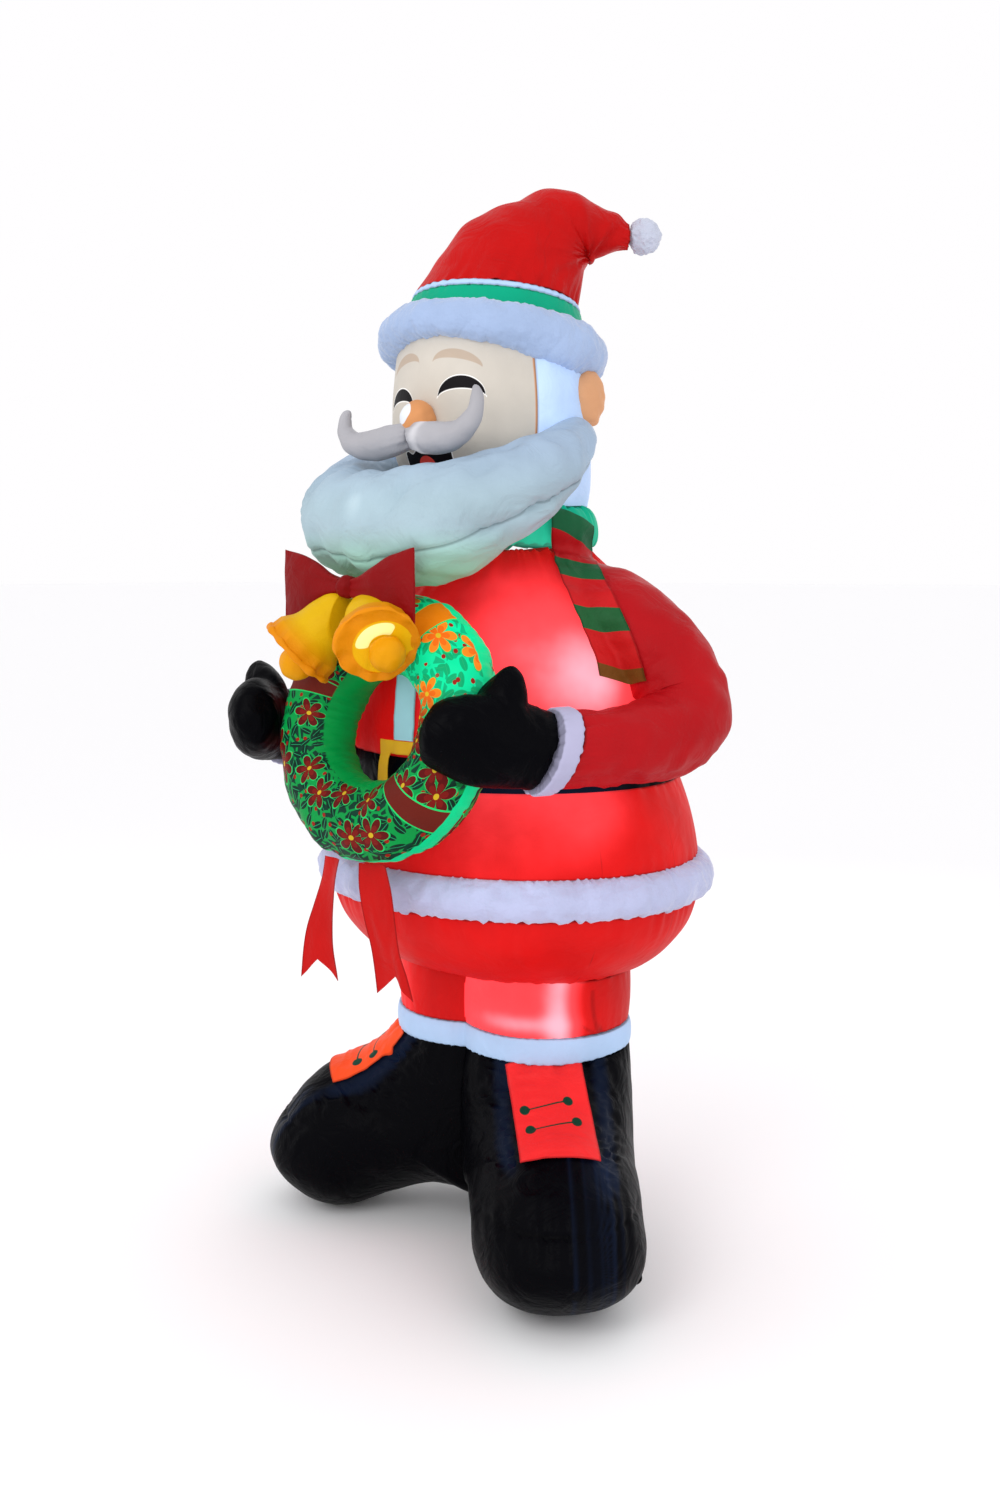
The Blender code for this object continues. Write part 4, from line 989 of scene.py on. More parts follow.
def swept(path, columns, up=(0, 0, 1), carried=False, rounded=(0, 0)):
    """Rings along a path of x, y, z, half width and half height, with its ends rounded off if asked."""
    middle = path[:, :3]
    ahead = np.gradient(middle, axis=0)
    ahead /= np.linalg.norm(ahead, axis=1, keepdims=True)
    across = np.cross(ahead, np.array(up, float))
    if carried:
        across[0] /= np.linalg.norm(across[0])
        for i in range(1, len(path)):
            across[i] = across[i - 1] - ahead[i] * (across[i - 1] @ ahead[i])
            across[i] /= np.linalg.norm(across[i])
    across /= np.linalg.norm(across, axis=1, keepdims=True)
    along = np.cross(across, ahead)
    reached = np.concatenate(([0.0], np.cumsum(np.linalg.norm(np.diff(middle, axis=0), axis=1))))
    shrink = np.ones(len(path))
    for end, away in ((rounded[0], reached), (rounded[1], reached[-1] - reached)):
        if end:
            shrink *= np.sqrt(np.clip(1 - np.clip(1 - away / end, 0, 0.995) ** 2, 0.0004, 1))
    turn = turn_round(columns)[None, :, None]
    wide = (path[:, 3] * shrink)[:, None, None] * np.cos(turn) * across[:, None]
    tall = (path[:, 4] * shrink)[:, None, None] * np.sin(turn) * along[:, None]
    return middle[:, None] + wide + tall


def mirrored(rows, side):
    rows = np.array(rows, float)
    rows[:, 0] *= side
    return rows


def bearded(tree):
    """Grey-blue cloth that is greener and paler towards the bottom."""
    height = trait(tree, "rise")
    low = blend_of(tree, step_at(tree, height, 1.560, 1.680), tint(146, 200, 176), tint(158, 180, 190))
    return blend_of(tree, step_at(tree, height, 1.70, 1.86), low, tint(158, 178, 200))


BEARD_CLOTH = nylon("beard_nylon", None, tint(215, 222, 220), glow_gain=0.5, pattern=bearded, crease=0.8)
MOUSTACHE_CLOTH = nylon(
    "moustache_nylon", tint(168, 167, 172), tint(232, 230, 232), glow_gain=0.4, crease=0.4
)
half = smooth(BEARD_HALF, 14)
path = np.concatenate((mirrored(half[:0:-1], -1), half))
grid = swept(path, 150, rounded=(0.02, 0.02))
turn = turn_round(150)[None, :]
seam_turn = np.radians(326)
girth = (path[:, 3:4] + path[:, 4:5]) / 2
above = ((turn - seam_turn + math.pi) % (2 * math.pi) - math.pi) * girth
to_seam = np.abs(above)
run = rows_apart(grid)[:, None]
folds = ripples_along(run + 0 * turn, 111, 0.055)
amount = 0.004 * ripples(grid, 112, 0.24) + 0.0018 * ripples(grid, 113, 0.09)
amount += 0.0045 - 0.0075 * np.abs(ripples(grid, 114, 0.085, (1, 0.7, 0.5))) ** 1.5
amount -= 0.0045 * np.exp(-((to_seam / 0.006) ** 2)) + 0.003 * folds * np.exp(-to_seam / 0.04)
# Where the seam is caught, the cloth dips, and sharp folds run up from there towards the chin. Each
# spot: its ring, how deep it is, and how its folds lean.
CAUGHT_SPOTS = (
    (90, 0.010, -0.035),
    (98, 0.012, -0.050),
    (103, 0.008, -0.020),
    (50, 0.010, 0.035),
    (42, 0.012, 0.050),
)
for row, deep, lean in CAUGHT_SPOTS:
    caught = float(run[row, 0])
    amount -= deep * np.exp(-((np.hypot(run - caught, above) / 0.016) ** 2))
    for spread, long in ((0.0, 0.085), (0.030, 0.055), (-0.034, 0.040)):
        to_fold = distance_to_line(run, above, (caught, 0.004), (caught + lean + spread, long))
        fading = np.clip(1 - above / (long + 0.02), 0, 1)
        amount += 0.0045 * np.exp(-((to_fold / 0.006) ** 2)) * fading
        amount -= 0.0040 * np.exp(-((to_fold / 0.018) ** 2)) * fading
grid = press(grid, amount)
BEARD_LAMPS = (
    (-0.010, -0.500, 1.710, 0.060, 0.70),
    (0.130, -0.480, 1.740, 0.080, 0.35),
    (-0.130, -0.440, 1.700, 0.110, 0.30),
)
glow = 0.6 * lamp_glow(grid, (*LAMPS, *BEARD_LAMPS))
traits = {"from_seam_and_shadow": to_seam, "rise": grid[..., 2], "lamp_glow": glow}
dress("beard", grid, BEARD_CLOTH, "beard_cloth", traits)
for word, side in SIDES.items():
    path = mirrored(smooth(MOUSTACHE, 12), side)
    if word == "right":
        # This horn hangs lower and farther out than the other one
        sag = np.linspace(0, 1, len(path)) ** 1.5
        path[:, 0] -= RIGHT_HORN_OUT * sag
        path[:, 2] -= RIGHT_HORN_SAG * sag
    grid = swept(path, 64, up=(0, 1, 0), rounded=(0, 0.01))
    run = rows_apart(grid)[:, None]
    inner = np.exp(-run / 0.03) * gathers(64, 115, 12)[None, :]
    grid = press(grid, 0.0012 * ripples(grid, 116 + side, 0.05) - 0.003 * inner)
    grid[..., 0] = side * np.maximum(side * grid[..., 0], SEAM_GAP / 2)
    glow = 0.12 + (0.42 if side > 0 else 0.0) * np.exp(-(((run - 0.055) / 0.030) ** 2))
    dress(f"moustache_{word}", grid, MOUSTACHE_CLOTH, "moustache_cloth", {"lamp_glow": glow})

# The hat: a plush roll round the head, a green band and a thin white one, and a red cone that leans
# back, bends over to the figure's left and ends in a plush ball. Creases run from the bend's inside.
BRIM_RADIUS = 0.212
BRIM_HALF_WIDTH = 0.048
BRIM_TOP = 0.100
BRIM_HALF_HEIGHT = 0.058
BRIM_FRONT_LIFT = 0.016
BRIM_FRONT_RISE = 0.006
GREEN_BAND_TOP = 0.140
WHITE_BAND_TOP = 0.155
GREEN_BAND_RADIUS = 0.206
WHITE_BAND_RADIUS = 0.192
CONE_RADIUS = 0.185
CONE_TURN = math.radians(39)
BEND_INSIDE_OUT = 0.205
BEND_INSIDE_RISE = 0.095
POMPOM_OUT = 0.334
POMPOM_HEIGHT = 2.326
POMPOM_RADIUS = 0.038
# The cone in its bend plane, from its foot: out and height of the back and of the front, and half width
CONE_ROWS = (
    (-0.156, 0.054, 0.192, 0.041, 0.172),
    (-0.124, 0.100, 0.197, 0.078, 0.160),
    (-0.080, 0.157, 0.203, 0.092, 0.145),
    (-0.008, 0.200, 0.212, 0.098, 0.125),
    (0.066, 0.231, 0.222, 0.104, 0.105),
    (0.127, 0.242, 0.236, 0.109, 0.085),
    (0.188, 0.228, 0.255, 0.113, 0.065),
    (0.249, 0.196, 0.275, 0.115, 0.045),
    (0.298, 0.166, 0.297, 0.114, 0.028),
)
BRIM_PLUSH = plush("blue_plush", tint(160, 180, 214), tint(230, 240, 255), gain=0.4)
POMPOM_PLUSH = plush("pompom_plush", tint(192, 197, 214), tint(230, 235, 245), gain=0.4)
HAT_CLOTH = nylon("hat_nylon", tint(186, 8, 8), tint(255, 120, 110), glow_gain=0.5, crease=0.8)
BAND_CLOTH = nylon("band_nylon", tint(0, 160, 122), tint(90, 230, 190), glow_gain=0.4)
turn = turn_round(300)[:, None]
out = np.stack((np.cos(turn), np.sin(turn) * HAT_BACK[1], np.sin(turn) * HAT_BACK[2]), axis=-1)
front = np.maximum(0, -out[..., 1]) ** 2
half_height = BRIM_HALF_HEIGHT - BRIM_FRONT_LIFT * front
to_right = np.maximum(0, -out[..., 0]) ** 2 * (out[..., 1] < 0.5)
half_height = half_height - 0.009 * to_right
lift = BRIM_TOP - half_height + BRIM_FRONT_RISE * front - 0.018 * to_right
middle = HAT_FOOT + HAT_UP * lift[..., None] + out * BRIM_RADIUS
round_tube = turn_round(64)[None, :]
grid = middle + out * (BRIM_HALF_WIDTH * np.cos(round_tube))[..., None]
grid = grid + HAT_UP * (half_height * np.sin(round_tube))[..., None]
lumps = 0.0018 * ripples(grid, 121, 0.07) + 0.0009 * ripples(grid, 122, 0.024)
lumps = lumps + 0.0004 * ripples(grid, 123, 0.010)
upper = np.maximum(0, np.sin(round_tube)) ** 2 + np.maximum(0, -np.sin(round_tube)) ** 2
lumps = lumps - 0.0016 * upper * gathers(300, 124, 60)[:, None]
grid = press(grid, lumps, looped=True)
dress("hat_brim", grid, BRIM_PLUSH, "trim_plush", looped=True, kind="plush")


def hat_ring_rows(rows, columns):
    turn = turn_round(columns)[None, :, None]
    rows = np.array(rows)
    ring = np.array((1.0, 0, 0)) * np.cos(turn) + HAT_BACK * np.sin(turn)
    return HAT_FOOT + HAT_UP * rows[:, 0][:, None, None] + ring * rows[:, 1][:, None, None]


GREEN_BAND = (GREEN_BAND_RADIUS, WHITE_BAND_RADIUS, BAND_CLOTH, "band_cloth")
WHITE_BAND = (WHITE_BAND_RADIUS, CONE_RADIUS, PALE_CLOTH, "pale_cloth")
for name, low, high, finish in (
    ("hat_band_green", HAT_TOP_OF_HEAD, GREEN_BAND_TOP, GREEN_BAND),
    ("hat_band_white", GREEN_BAND_TOP, WHITE_BAND_TOP, WHITE_BAND),
):
    low_radius, high_radius, material, slot = finish
    share = np.linspace(0, 1, 20)
    radius = low_radius + (high_radius - low_radius) * share
    rows = np.stack((low + SEAM_GAP + (high - low - SEAM_GAP) * share, radius), axis=-1)
    grid = hat_ring_rows(rows, 220)
    grid, nearest = sewn_tube(grid, 131, (40, 0.0016, 0.012), (40, 0.0012, 0.010), 0.002, 0.0008)
    dress(name, grid, material, slot, {"from_seam_and_shadow": nearest, "lamp_glow": 0.12})

foot = HAT_FOOT + HAT_UP * (WHITE_BAND_TOP + SEAM_GAP)
ahead = np.array((math.cos(CONE_TURN), math.sin(CONE_TURN), 0))
across = np.array((-ahead[1], ahead[0], 0))
slope = ahead - HAT_UP * (ahead @ HAT_UP)
slope /= np.linalg.norm(slope)
level_out, level_rise = CONE_RADIUS * slope @ ahead, CONE_RADIUS * slope[2]
base = (-level_out, -level_rise, level_out, level_rise, CONE_RADIUS)
rows = smooth((base, *CONE_ROWS), 12)
grid = bent_tube(rows, foot, ahead, across, 200)
# The first ring lies square to the leaning hat, and the next ones turn from there to the bend plane
leaning = np.clip(1 - np.arange(len(rows)) / 14, 0, 1)[:, None]
grid[..., 2] -= ((grid - foot) @ across) * across[1] * math.tan(HAT_LEAN) * leaning
corner = foot + ahead * BEND_INSIDE_OUT + UP * BEND_INSIDE_RISE
spread = grid - corner
bearing = np.arctan2(spread[..., 2], -(spread @ ahead))
from_corner = np.linalg.norm(spread, axis=-1)
rays = ripples_along(bearing, 141, 0.42)
amount = 0.0100 * rays * np.exp(-from_corner / 0.17) + 0.0026 * ripples(grid, 142, 0.10)
rise = rows_apart(grid)
amount -= 0.0034 * np.exp(-rise / 0.04)[:, None] * gathers(200, 143, 30)[None, :]
tip = np.clip((rise[-1] - rise) / 0.05, 0, 1)[:, None]
amount -= 0.002 * (1 - tip) * gathers(200, 144, 14)[None, :]
grid = press(grid, amount)
seam = np.minimum(rise, rise[-1] - rise)[:, None] + np.zeros(200)
dress("hat_cone", grid, HAT_CLOTH, "red_cloth", {"from_seam_and_shadow": seam, "lamp_glow": 0.06})

centre = foot + ahead * POMPOM_OUT
grid = pouch((centre[0], centre[1], POMPOM_HEIGHT), (POMPOM_RADIUS,) * 3, 70, 100, 145, 0.0016)
grid = press(grid, 0.0012 * ripples(grid, 146, 0.010))
dress("hat_pompom", grid, POMPOM_PLUSH, "trim_plush", kind="plush")

# The arms: a red sleeve from the shoulder down and forward round the elbow, a pale cuff, and a black
# mitten whose thumb stands up. The elbow's inside is wrinkled, and the cuff's seams gather the sleeve.
SLEEVE = (
    (0.150, 0.000, 1.505, 0.100, 0.098),
    (0.262, 0.008, 1.480, 0.113, 0.108),
    (0.354, 0.022, 1.426, 0.110, 0.106),
    (0.424, 0.036, 1.356, 0.104, 0.101),
    (0.468, 0.026, 1.286, 0.099, 0.098),
    (0.486, -0.022, 1.242, 0.094, 0.094),
    (0.480, -0.092, 1.222, 0.090, 0.090),
    (0.452, -0.190, 1.215, 0.085, 0.086),
    (0.408, -0.300, 1.214, 0.079, 0.081),
)
MITTEN = (
    (0.376, -0.376, 1.220, 0.062, 0.074),
    (0.346, -0.430, 1.232, 0.068, 0.090),
    (0.316, -0.480, 1.242, 0.067, 0.094),
    (0.280, -0.528, 1.254, 0.058, 0.084),
    (0.248, -0.558, 1.262, 0.044, 0.064),
    (0.230, -0.570, 1.266, 0.020, 0.034),
)
THUMB = (
    (0.326, -0.448, 1.250, 0.076, 0.044),
    (0.332, -0.440, 1.310, 0.064, 0.042),
    (0.342, -0.428, 1.356, 0.040, 0.034),
    (0.348, -0.422, 1.392, 0.015, 0.015),
)
ELBOW_INSIDE = (0.36, -0.06, 1.28)
CUFF_LENGTH = 0.050
CUFF_RADIUS = 0.090
CUFF_FLATTER = 0.006
WRIST_HALF_SIZE = (0.066, 0.076)
SLEEVE_CLOTH = nylon("sleeve_nylon", tint(166, 12, 20), tint(255, 120, 140), glow_gain=0.9, crease=0.55)
CUFF_CLOTH = nylon("cuff_nylon", tint(170, 168, 196), tint(220, 220, 240), glow_gain=0.5)
CUFF_SLANT = 0.34
CUFF_TOP_HALF = 0.080
RIGHT_HAND_OUT = 0.036
THUMB_FOOT = 1.25
RIGHT_THUMB_SHARE = 0.84
RIGHT_THUMB_LEAN = 0.044
SKIN_CELL = 0.0045


def slanted_end(points, wrist, ahead, share):
    """The end of the forearm, cut slanting so that its lower side reaches farther towards the hand."""
    reach = CUFF_SLANT * np.clip(CUFF_TOP_HALF - (points - wrist)[..., 2], 0, 2 * CUFF_TOP_HALF)
    return points + ahead * (reach * share)[..., None]


sleeves = {}
for word, side in SIDES.items():
    rough = mirrored(SLEEVE, side)
    wrist = rough[-1, :3]
    ahead = wrist - rough[-2, :3]
    ahead /= np.linalg.norm(ahead)
    path = mirrored(smooth(SLEEVE, 12), side)
    grid = swept(path, 120, carried=True)
    run = rows_apart(grid)
    grid = slanted_end(grid, wrist, ahead, np.exp(-(run[-1] - run) / 0.07)[:, None])
    elbow = mirrored((ELBOW_INSIDE,), side)[0]
    near_elbow = np.exp(-(np.linalg.norm(grid - elbow, axis=-1) / 0.11) ** 2)
    along_arm = (run[:, None] + 0 * grid[..., 0], grid[..., 2] * 0.2, 0 * grid[..., 0])
    folds = ripples(np.stack(along_arm, axis=-1), 151 + side, 0.035)
    amount = 0.0035 * ripples(grid, 152 + side, 0.16) + 0.0018 * ripples(grid, 153 + side, 0.06, (1, 1, 1))
    amount += 0.006 * near_elbow * folds
    amount -= 0.0035 * np.exp(-(run[-1] - run) / 0.045)[:, None] * gathers(120, 154 + side, 20)[None, :]
    below = np.clip((1.22 - grid[..., 2]) / 0.05, 0, 1)
    amount -= 0.004 * below * np.abs(ripples(grid, 155 + side, 0.045, (1, 1, 0.3)))
    grid = press(grid, amount)
    seam = (run[-1] - run)[:, None] + np.zeros(120)
    traits = {"from_seam_and_shadow": seam, "lamp_glow": 0.5 * lamp_glow(grid)}
    sleeves[word] = dress(f"sleeve_{word}", grid, SLEEVE_CLOTH, "red_cloth", traits)

    across = np.cross(ahead, UP)
    across /= np.linalg.norm(across)
    along = np.cross(across, ahead)
    share = np.linspace(0, 1, 24)
    rounding = np.sqrt(np.clip(1 - np.clip((np.abs(share - 0.5) - 0.26) / 0.24, 0, 1) ** 2, 0, 1))
    radius = CUFF_RADIUS - 0.006 * (1 - rounding)
    turn = turn_round(140)[None, :, None]
    spots = wrist + ahead * (SEAM_GAP + (CUFF_LENGTH - SEAM_GAP) * share)[:, None]
    grid = spots[:, None] + across * (radius - CUFF_FLATTER)[:, None, None] * np.cos(turn)
    grid = grid + along * radius[:, None, None] * np.sin(turn)
    grid = slanted_end(grid, wrist, ahead, np.ones((24, 1)))
    grid, nearest = sewn_tube(grid, 161 + side, (24, 0.002, 0.01), (24, 0.002, 0.01), 0.0, 0.0012)
    dress(f"cuff_{word}", grid, CUFF_CLOTH, "pale_cloth", {"from_seam_and_shadow": nearest})

    start = wrist + ahead * (CUFF_LENGTH + SEAM_GAP)
    first = (*start, *WRIST_HALF_SIZE)
    hand = np.vstack((np.array(first), mirrored(MITTEN, side)[1:]))
    if word == "right":
        hand[1:, 0] -= RIGHT_HAND_OUT
    body = make_cloth(f"mitten_{word}_cloth", swept(smooth(hand, 10), 70, rounded=(0, 0.02)))
    thumb_path = mirrored(smooth(THUMB, 10), side)
    if word == "right":
        # This thumb is a little shorter, and leans outwards
        thumb_path[:, 2] = THUMB_FOOT + (thumb_path[:, 2] - THUMB_FOOT) * RIGHT_THUMB_SHARE
        thumb_path[:, 0] -= RIGHT_HAND_OUT + RIGHT_THUMB_LEAN * np.linspace(0, 1, len(thumb_path))
    thumb = make_cloth("thumb", swept(thumb_path, 48, up=(0, 1, 0), rounded=(0, 0.02)))
    bpy.ops.object.select_all(action="DESELECT")
    thumb.select_set(True)
    body.select_set(True)
    bpy.context.view_layer.objects.active = body
    bpy.ops.object.join()
    remesh = body.modifiers.new("one_skin", "REMESH")
    remesh.mode = "VOXEL"
    remesh.voxel_size = SKIN_CELL
    bpy.ops.object.modifier_apply(modifier=remesh.name)
    softened = body.modifiers.new("soft_web", "SMOOTH")
    softened.factor = 0.5
    softened.iterations = 6
    bpy.ops.object.modifier_apply(modifier=softened.name)
    mesh = body.data
    count = len(mesh.vertices)
    spots = np.empty(count * 3)
    mesh.vertices.foreach_get("co", spots)
    facing = np.empty(count * 3)
    mesh.vertex_normals.foreach_get("vector", facing)
    spots, facing = spots.reshape(-1, 3) - STAND, facing.reshape(-1, 3)
    seam = np.abs((spots - start) @ across - 0.004)
    to_cuff = (spots - start) @ ahead
    amount = 0.0022 * ripples(spots, 171 + side, 0.10) + 0.0006 * ripples(spots, 172 + side, 0.035)
    amount -= 0.003 * np.exp(-to_cuff / 0.03) * np.abs(ripples(spots, 173 + side, 0.03))
    spots = spots + facing * amount[:, None]
    flat_end = np.minimum(to_cuff, 0)
    spots = spots - ahead * np.where((to_cuff < 0.004), flat_end, 0)[:, None]
    spots = slanted_end(spots, wrist, ahead, np.exp(-np.maximum(to_cuff, 0) / 0.05))
    mesh.vertices.foreach_set("co", (spots + STAND).ravel())
    for key, value in (("lamp_glow", 0.0), ("from_seam_and_shadow", 1.0)):
        if key in mesh.attributes:
            mesh.attributes.remove(mesh.attributes[key])
        added = mesh.attributes.new(key, "FLOAT", "POINT")
        added.data.foreach_set("value", np.full(count, value, np.float32))
    mesh.shade_smooth()
    fit_out(body, BLACK_CLOTH, "mitten_cloth", f"mitten_{word}")

# The wreath: a fat ring of printed cloth between the mittens. The print is made here of plain motifs:
# scattered leaves, six-petalled flowers, berries and three wound bands, on bright green.
WREATH_PLACE = np.array((0.014, -0.444, 1.244))
WREATH_LEAN = math.radians(15)
WREATH_RADIUS = 0.205
WREATH_TUBE = 0.088
WREATH_TUBE_DEPTH = 0.080
WREATH_LIT_PLACE = (0.20, -0.42, 1.42)
WREATH_LIT_REACH = 0.17


def shifted(tree, operation, place, other):
    return put(tree, "VectorMath", {"operation": operation}, {0: place, 1: other}).outputs[0]


def scattered(tree, where, spacing, offset):
    """Cells of a spacing in metres: a point's place within its cell, and two random numbers of the cell."""
    moved = shifted(tree, "ADD", where, (offset, offset * 0.7, 0))
    inputs = {"Vector": moved, "Scale": 1 / spacing, "Randomness": 0.85}
    cells = put(tree, "TexVoronoi", {"voronoi_dimensions": "2D"}, inputs)
    within = shifted(tree, "SUBTRACT", moved, cells.outputs["Position"])
    local = put(tree, "SeparateXYZ", None, {0: within})
    chance = put(tree, "SeparateColor", None, {0: cells.outputs["Color"]})
    return local.outputs[0], local.outputs[1], chance.outputs[0], chance.outputs[1]


def turned(tree, x, y, chance):
    """A place within a cell, turned by the cell's own random angle."""
    angle = reckon(tree, "MULTIPLY", chance, 2 * math.pi)
    c, s = reckon(tree, "COSINE", angle), reckon(tree, "SINE", angle)
    one = reckon(tree, "ADD", reckon(tree, "MULTIPLY", x, c), reckon(tree, "MULTIPLY", y, s))
    other = reckon(tree, "SUBTRACT", reckon(tree, "MULTIPLY", y, c), reckon(tree, "MULTIPLY", x, s))
    return one, other


def out_from(tree, x, y):
    """The distance from a cell's middle."""
    both = reckon(tree, "ADD", reckon(tree, "MULTIPLY", x, x), reckon(tree, "MULTIPLY", y, y))
    return reckon(tree, "SQRT", both)


def printed_wreath(tree):
    where = put(tree, "UVMap", {"uv_map": "cloth"}).outputs[0]
    flat = put(tree, "SeparateXYZ", None, {0: where})
    # Near the lamp the print is paler: mint, with orange flowers
    lit = step_at(tree, trait(tree, "lit"), 0.25, 0.70)
    ground = blend_of(tree, lit, tint(0, 138, 62), tint(0, 204, 142))
    stretched = shifted(tree, "MULTIPLY", where, (1.0, 0.62, 1.0))
    settings = {"voronoi_dimensions": "2D", "feature": "DISTANCE_TO_EDGE"}
    edge = put(tree, "TexVoronoi", settings, {"Vector": stretched, "Scale": 1 / 0.019}).outputs["Distance"]
    patches = noise(tree, where, 16.0, 1.0)
    foliage = reckon(tree, "MULTIPLY", step_at(tree, edge, 0.11, 0.15), step_at(tree, patches, 0.46, 0.49))
    shade = blend_of(tree, lit, tint(3, 52, 38), tint(0, 158, 108))
    leafy = blend_of(tree, foliage, ground, shade)

    x, y, chance, other = scattered(tree, where, 0.026, 0.0)
    one, two = turned(tree, x, y, chance)
    long = reckon(tree, "POWER", reckon(tree, "DIVIDE", one, 0.0150), 2.0)
    wide = reckon(tree, "POWER", reckon(tree, "DIVIDE", two, 0.0074), 2.0)
    leaf = reckon(tree, "ADD", long, wide)
    in_leaf = reckon(tree, "SUBTRACT", 1.0, step_at(tree, leaf, 0.80, 1.0))
    dark_leaf = reckon(tree, "MULTIPLY", in_leaf, step_at(tree, other, 0.12, 0.14))
    shade = blend_of(tree, lit, tint(2, 40, 28), tint(0, 150, 96))
    colour = blend_of(tree, dark_leaf, leafy, shade)
    vein = reckon(tree, "LESS_THAN", reckon(tree, "ABSOLUTE", two), 0.0006)
    colour = blend_of(tree, reckon(tree, "MULTIPLY", vein, dark_leaf), colour, tint(30, 150, 96))

    x, y, chance, other = scattered(tree, where, 0.026, 0.31)
    in_berry = reckon(tree, "LESS_THAN", out_from(tree, x, y), 0.0046)
    in_berry = reckon(tree, "MULTIPLY", in_berry, step_at(tree, other, 0.50, 0.52))
    colour = blend_of(tree, in_berry, colour, tint(140, 24, 14))

    x, y, chance, other = scattered(tree, where, 0.098, 0.77)
    far = out_from(tree, x, y)
    bearing = reckon(tree, "ADD", reckon(tree, "ARCTAN2", y, x), reckon(tree, "MULTIPLY", chance, 6.0))
    wave = reckon(tree, "ABSOLUTE", reckon(tree, "COSINE", reckon(tree, "MULTIPLY", bearing, 3.0)))
    reach = reckon(tree, "ADD", 0.006, reckon(tree, "MULTIPLY", reckon(tree, "POWER", wave, 0.6), 0.032))
    petal = reckon(tree, "LESS_THAN", far, reach)
    rim = reckon(tree, "LESS_THAN", far, reckon(tree, "ADD", reach, 0.0030))
    colour = blend_of(tree, rim, colour, tint(20, 186, 96))
    shade = blend_of(tree, lit, tint(88, 8, 8), tint(224, 120, 24))
    colour = blend_of(tree, petal, colour, shade)
    inner = reckon(tree, "LESS_THAN", far, reckon(tree, "MULTIPLY", reach, 0.62))
    inner = reckon(tree, "MULTIPLY", petal, inner)
    shade = blend_of(tree, lit, tint(112, 18, 12), tint(212, 96, 14))
    colour = blend_of(tree, inner, colour, shade)
    colour = blend_of(tree, reckon(tree, "LESS_THAN", far, 0.0055), colour, tint(190, 160, 30))

    along = flat.outputs[1]
    wound = reckon(tree, "ADD", along, reckon(tree, "MULTIPLY", flat.outputs[0], 0.22))
    for run, middle, half_width, shade in (
        (wound, 0.60, 0.021, tint(96, 26, 16)),
        (wound, 1.16, 0.021, tint(96, 26, 16)),
        (along, 0.225, 0.024, tint(206, 112, 6)),
    ):
        from_middle = reckon(tree, "ABSOLUTE", reckon(tree, "SUBTRACT", run, middle))
        in_band = reckon(tree, "LESS_THAN", from_middle, half_width)
        beside = reckon(tree, "LESS_THAN", from_middle, half_width + 0.003)
        colour = blend_of(tree, beside, colour, tint(20, 196, 100))
        colour = blend_of(tree, in_band, colour, shade)
    colour = blend_of(tree, step_at(tree, trait(tree, "inner_edge"), 0.45, 0.55), colour, ground)
    return blend_of(tree, step_at(tree, trait(tree, "outer_edge"), 0.45, 0.55), colour, tint(0, 200, 132))


WREATH_CLOTH = nylon(
    "wreath_print", None, tint(30, 226, 160), glow_gain=1.5, warm=tint(0, 196, 134),
    pattern=printed_wreath, crease=0.25,
)
wreath_up = np.array((0, math.sin(WREATH_LEAN), math.cos(WREATH_LEAN)))
wreath_facing = np.cross((1.0, 0, 0), wreath_up)
turn = turn_round(340)[:, None]
out = np.array((1.0, 0, 0)) * np.cos(turn)[..., None] + wreath_up * np.sin(turn)[..., None]
round_tube = turn_round(110)[None, :]
grid = WREATH_PLACE + out * WREATH_RADIUS
grid = grid + out * (WREATH_TUBE * np.cos(round_tube))[..., None]
grid = grid + wreath_facing * (WREATH_TUBE_DEPTH * np.sin(round_tube))[..., None]
inner_side = np.exp(-((np.cos(round_tube) + 1) / 0.35) ** 2)
outer_side = np.exp(-((np.cos(round_tube) - 1) / 0.10) ** 2)
amount = 0.0022 * ripples(grid, 181, 0.10) + 0.001 * ripples(grid, 182, 0.04)
amount = amount - 0.0013 * inner_side * gathers(340, 183, 28)[:, None]
amount = amount - 0.0015 * outer_side * gathers(340, 184, 46)[:, None]
grid = press(grid, amount, looped=True)
inner_edge = np.exp(-(((np.cos(round_tube) + 1) / 0.28) ** 2)) + 0 * turn
outer_edge = np.exp(-(((np.cos(round_tube) - 1) / 0.035) ** 2)) + 0 * turn
lit = np.exp(-((np.linalg.norm(grid - np.array(WREATH_LIT_PLACE), axis=-1) / WREATH_LIT_REACH) ** 2))
traits = {"inner_edge": inner_edge, "outer_edge": outer_edge, "lit": lit, "lamp_glow": 0.10 + 0.26 * lit}
dress("wreath", grid, WREATH_CLOTH, "wreath_print", traits, looped=True, kind="print")

# The bow and bells at the wreath's top: two flat stuffed loops and a knot of dark red cloth, and two
# gold bells whose round mouths are puckered rims with a lighter disc and a ball clapper inside.
BOW_PLACE = np.array((-0.030, -0.512, 1.545))
BOW_HALF_WIDTH = 0.192
BOW_HALF_HEIGHT = 0.080
BOW_HALF_THICKNESS = 0.018
KNOT_HALF_SIZE = (0.024, 0.026, 0.026)
BELL_KNOT = {"left": np.array((-0.012, -0.470, 1.514)), "right": np.array((-0.044, -0.482, 1.520))}
BELL_WAY = {"left": np.array((0.68, -0.53, -0.50)), "right": np.array((-0.55, -0.45, -0.70))}
BELL_LENGTH = 0.175
BELL_RADIUS = 0.090
BELL_LIP = 0.018
BELL_RECESS = 0.008
CLAPPER_RADIUS = 0.038
BOW_CLOTH = nylon("bow_nylon", tint(124, 6, 10), tint(220, 40, 30), crease=0.6)
BELL_PROFILE = (
    (0.00, 0.30),
    (0.14, 0.50),
    (0.40, 0.60),
    (0.68, 0.70),
    (0.86, 0.90),
)


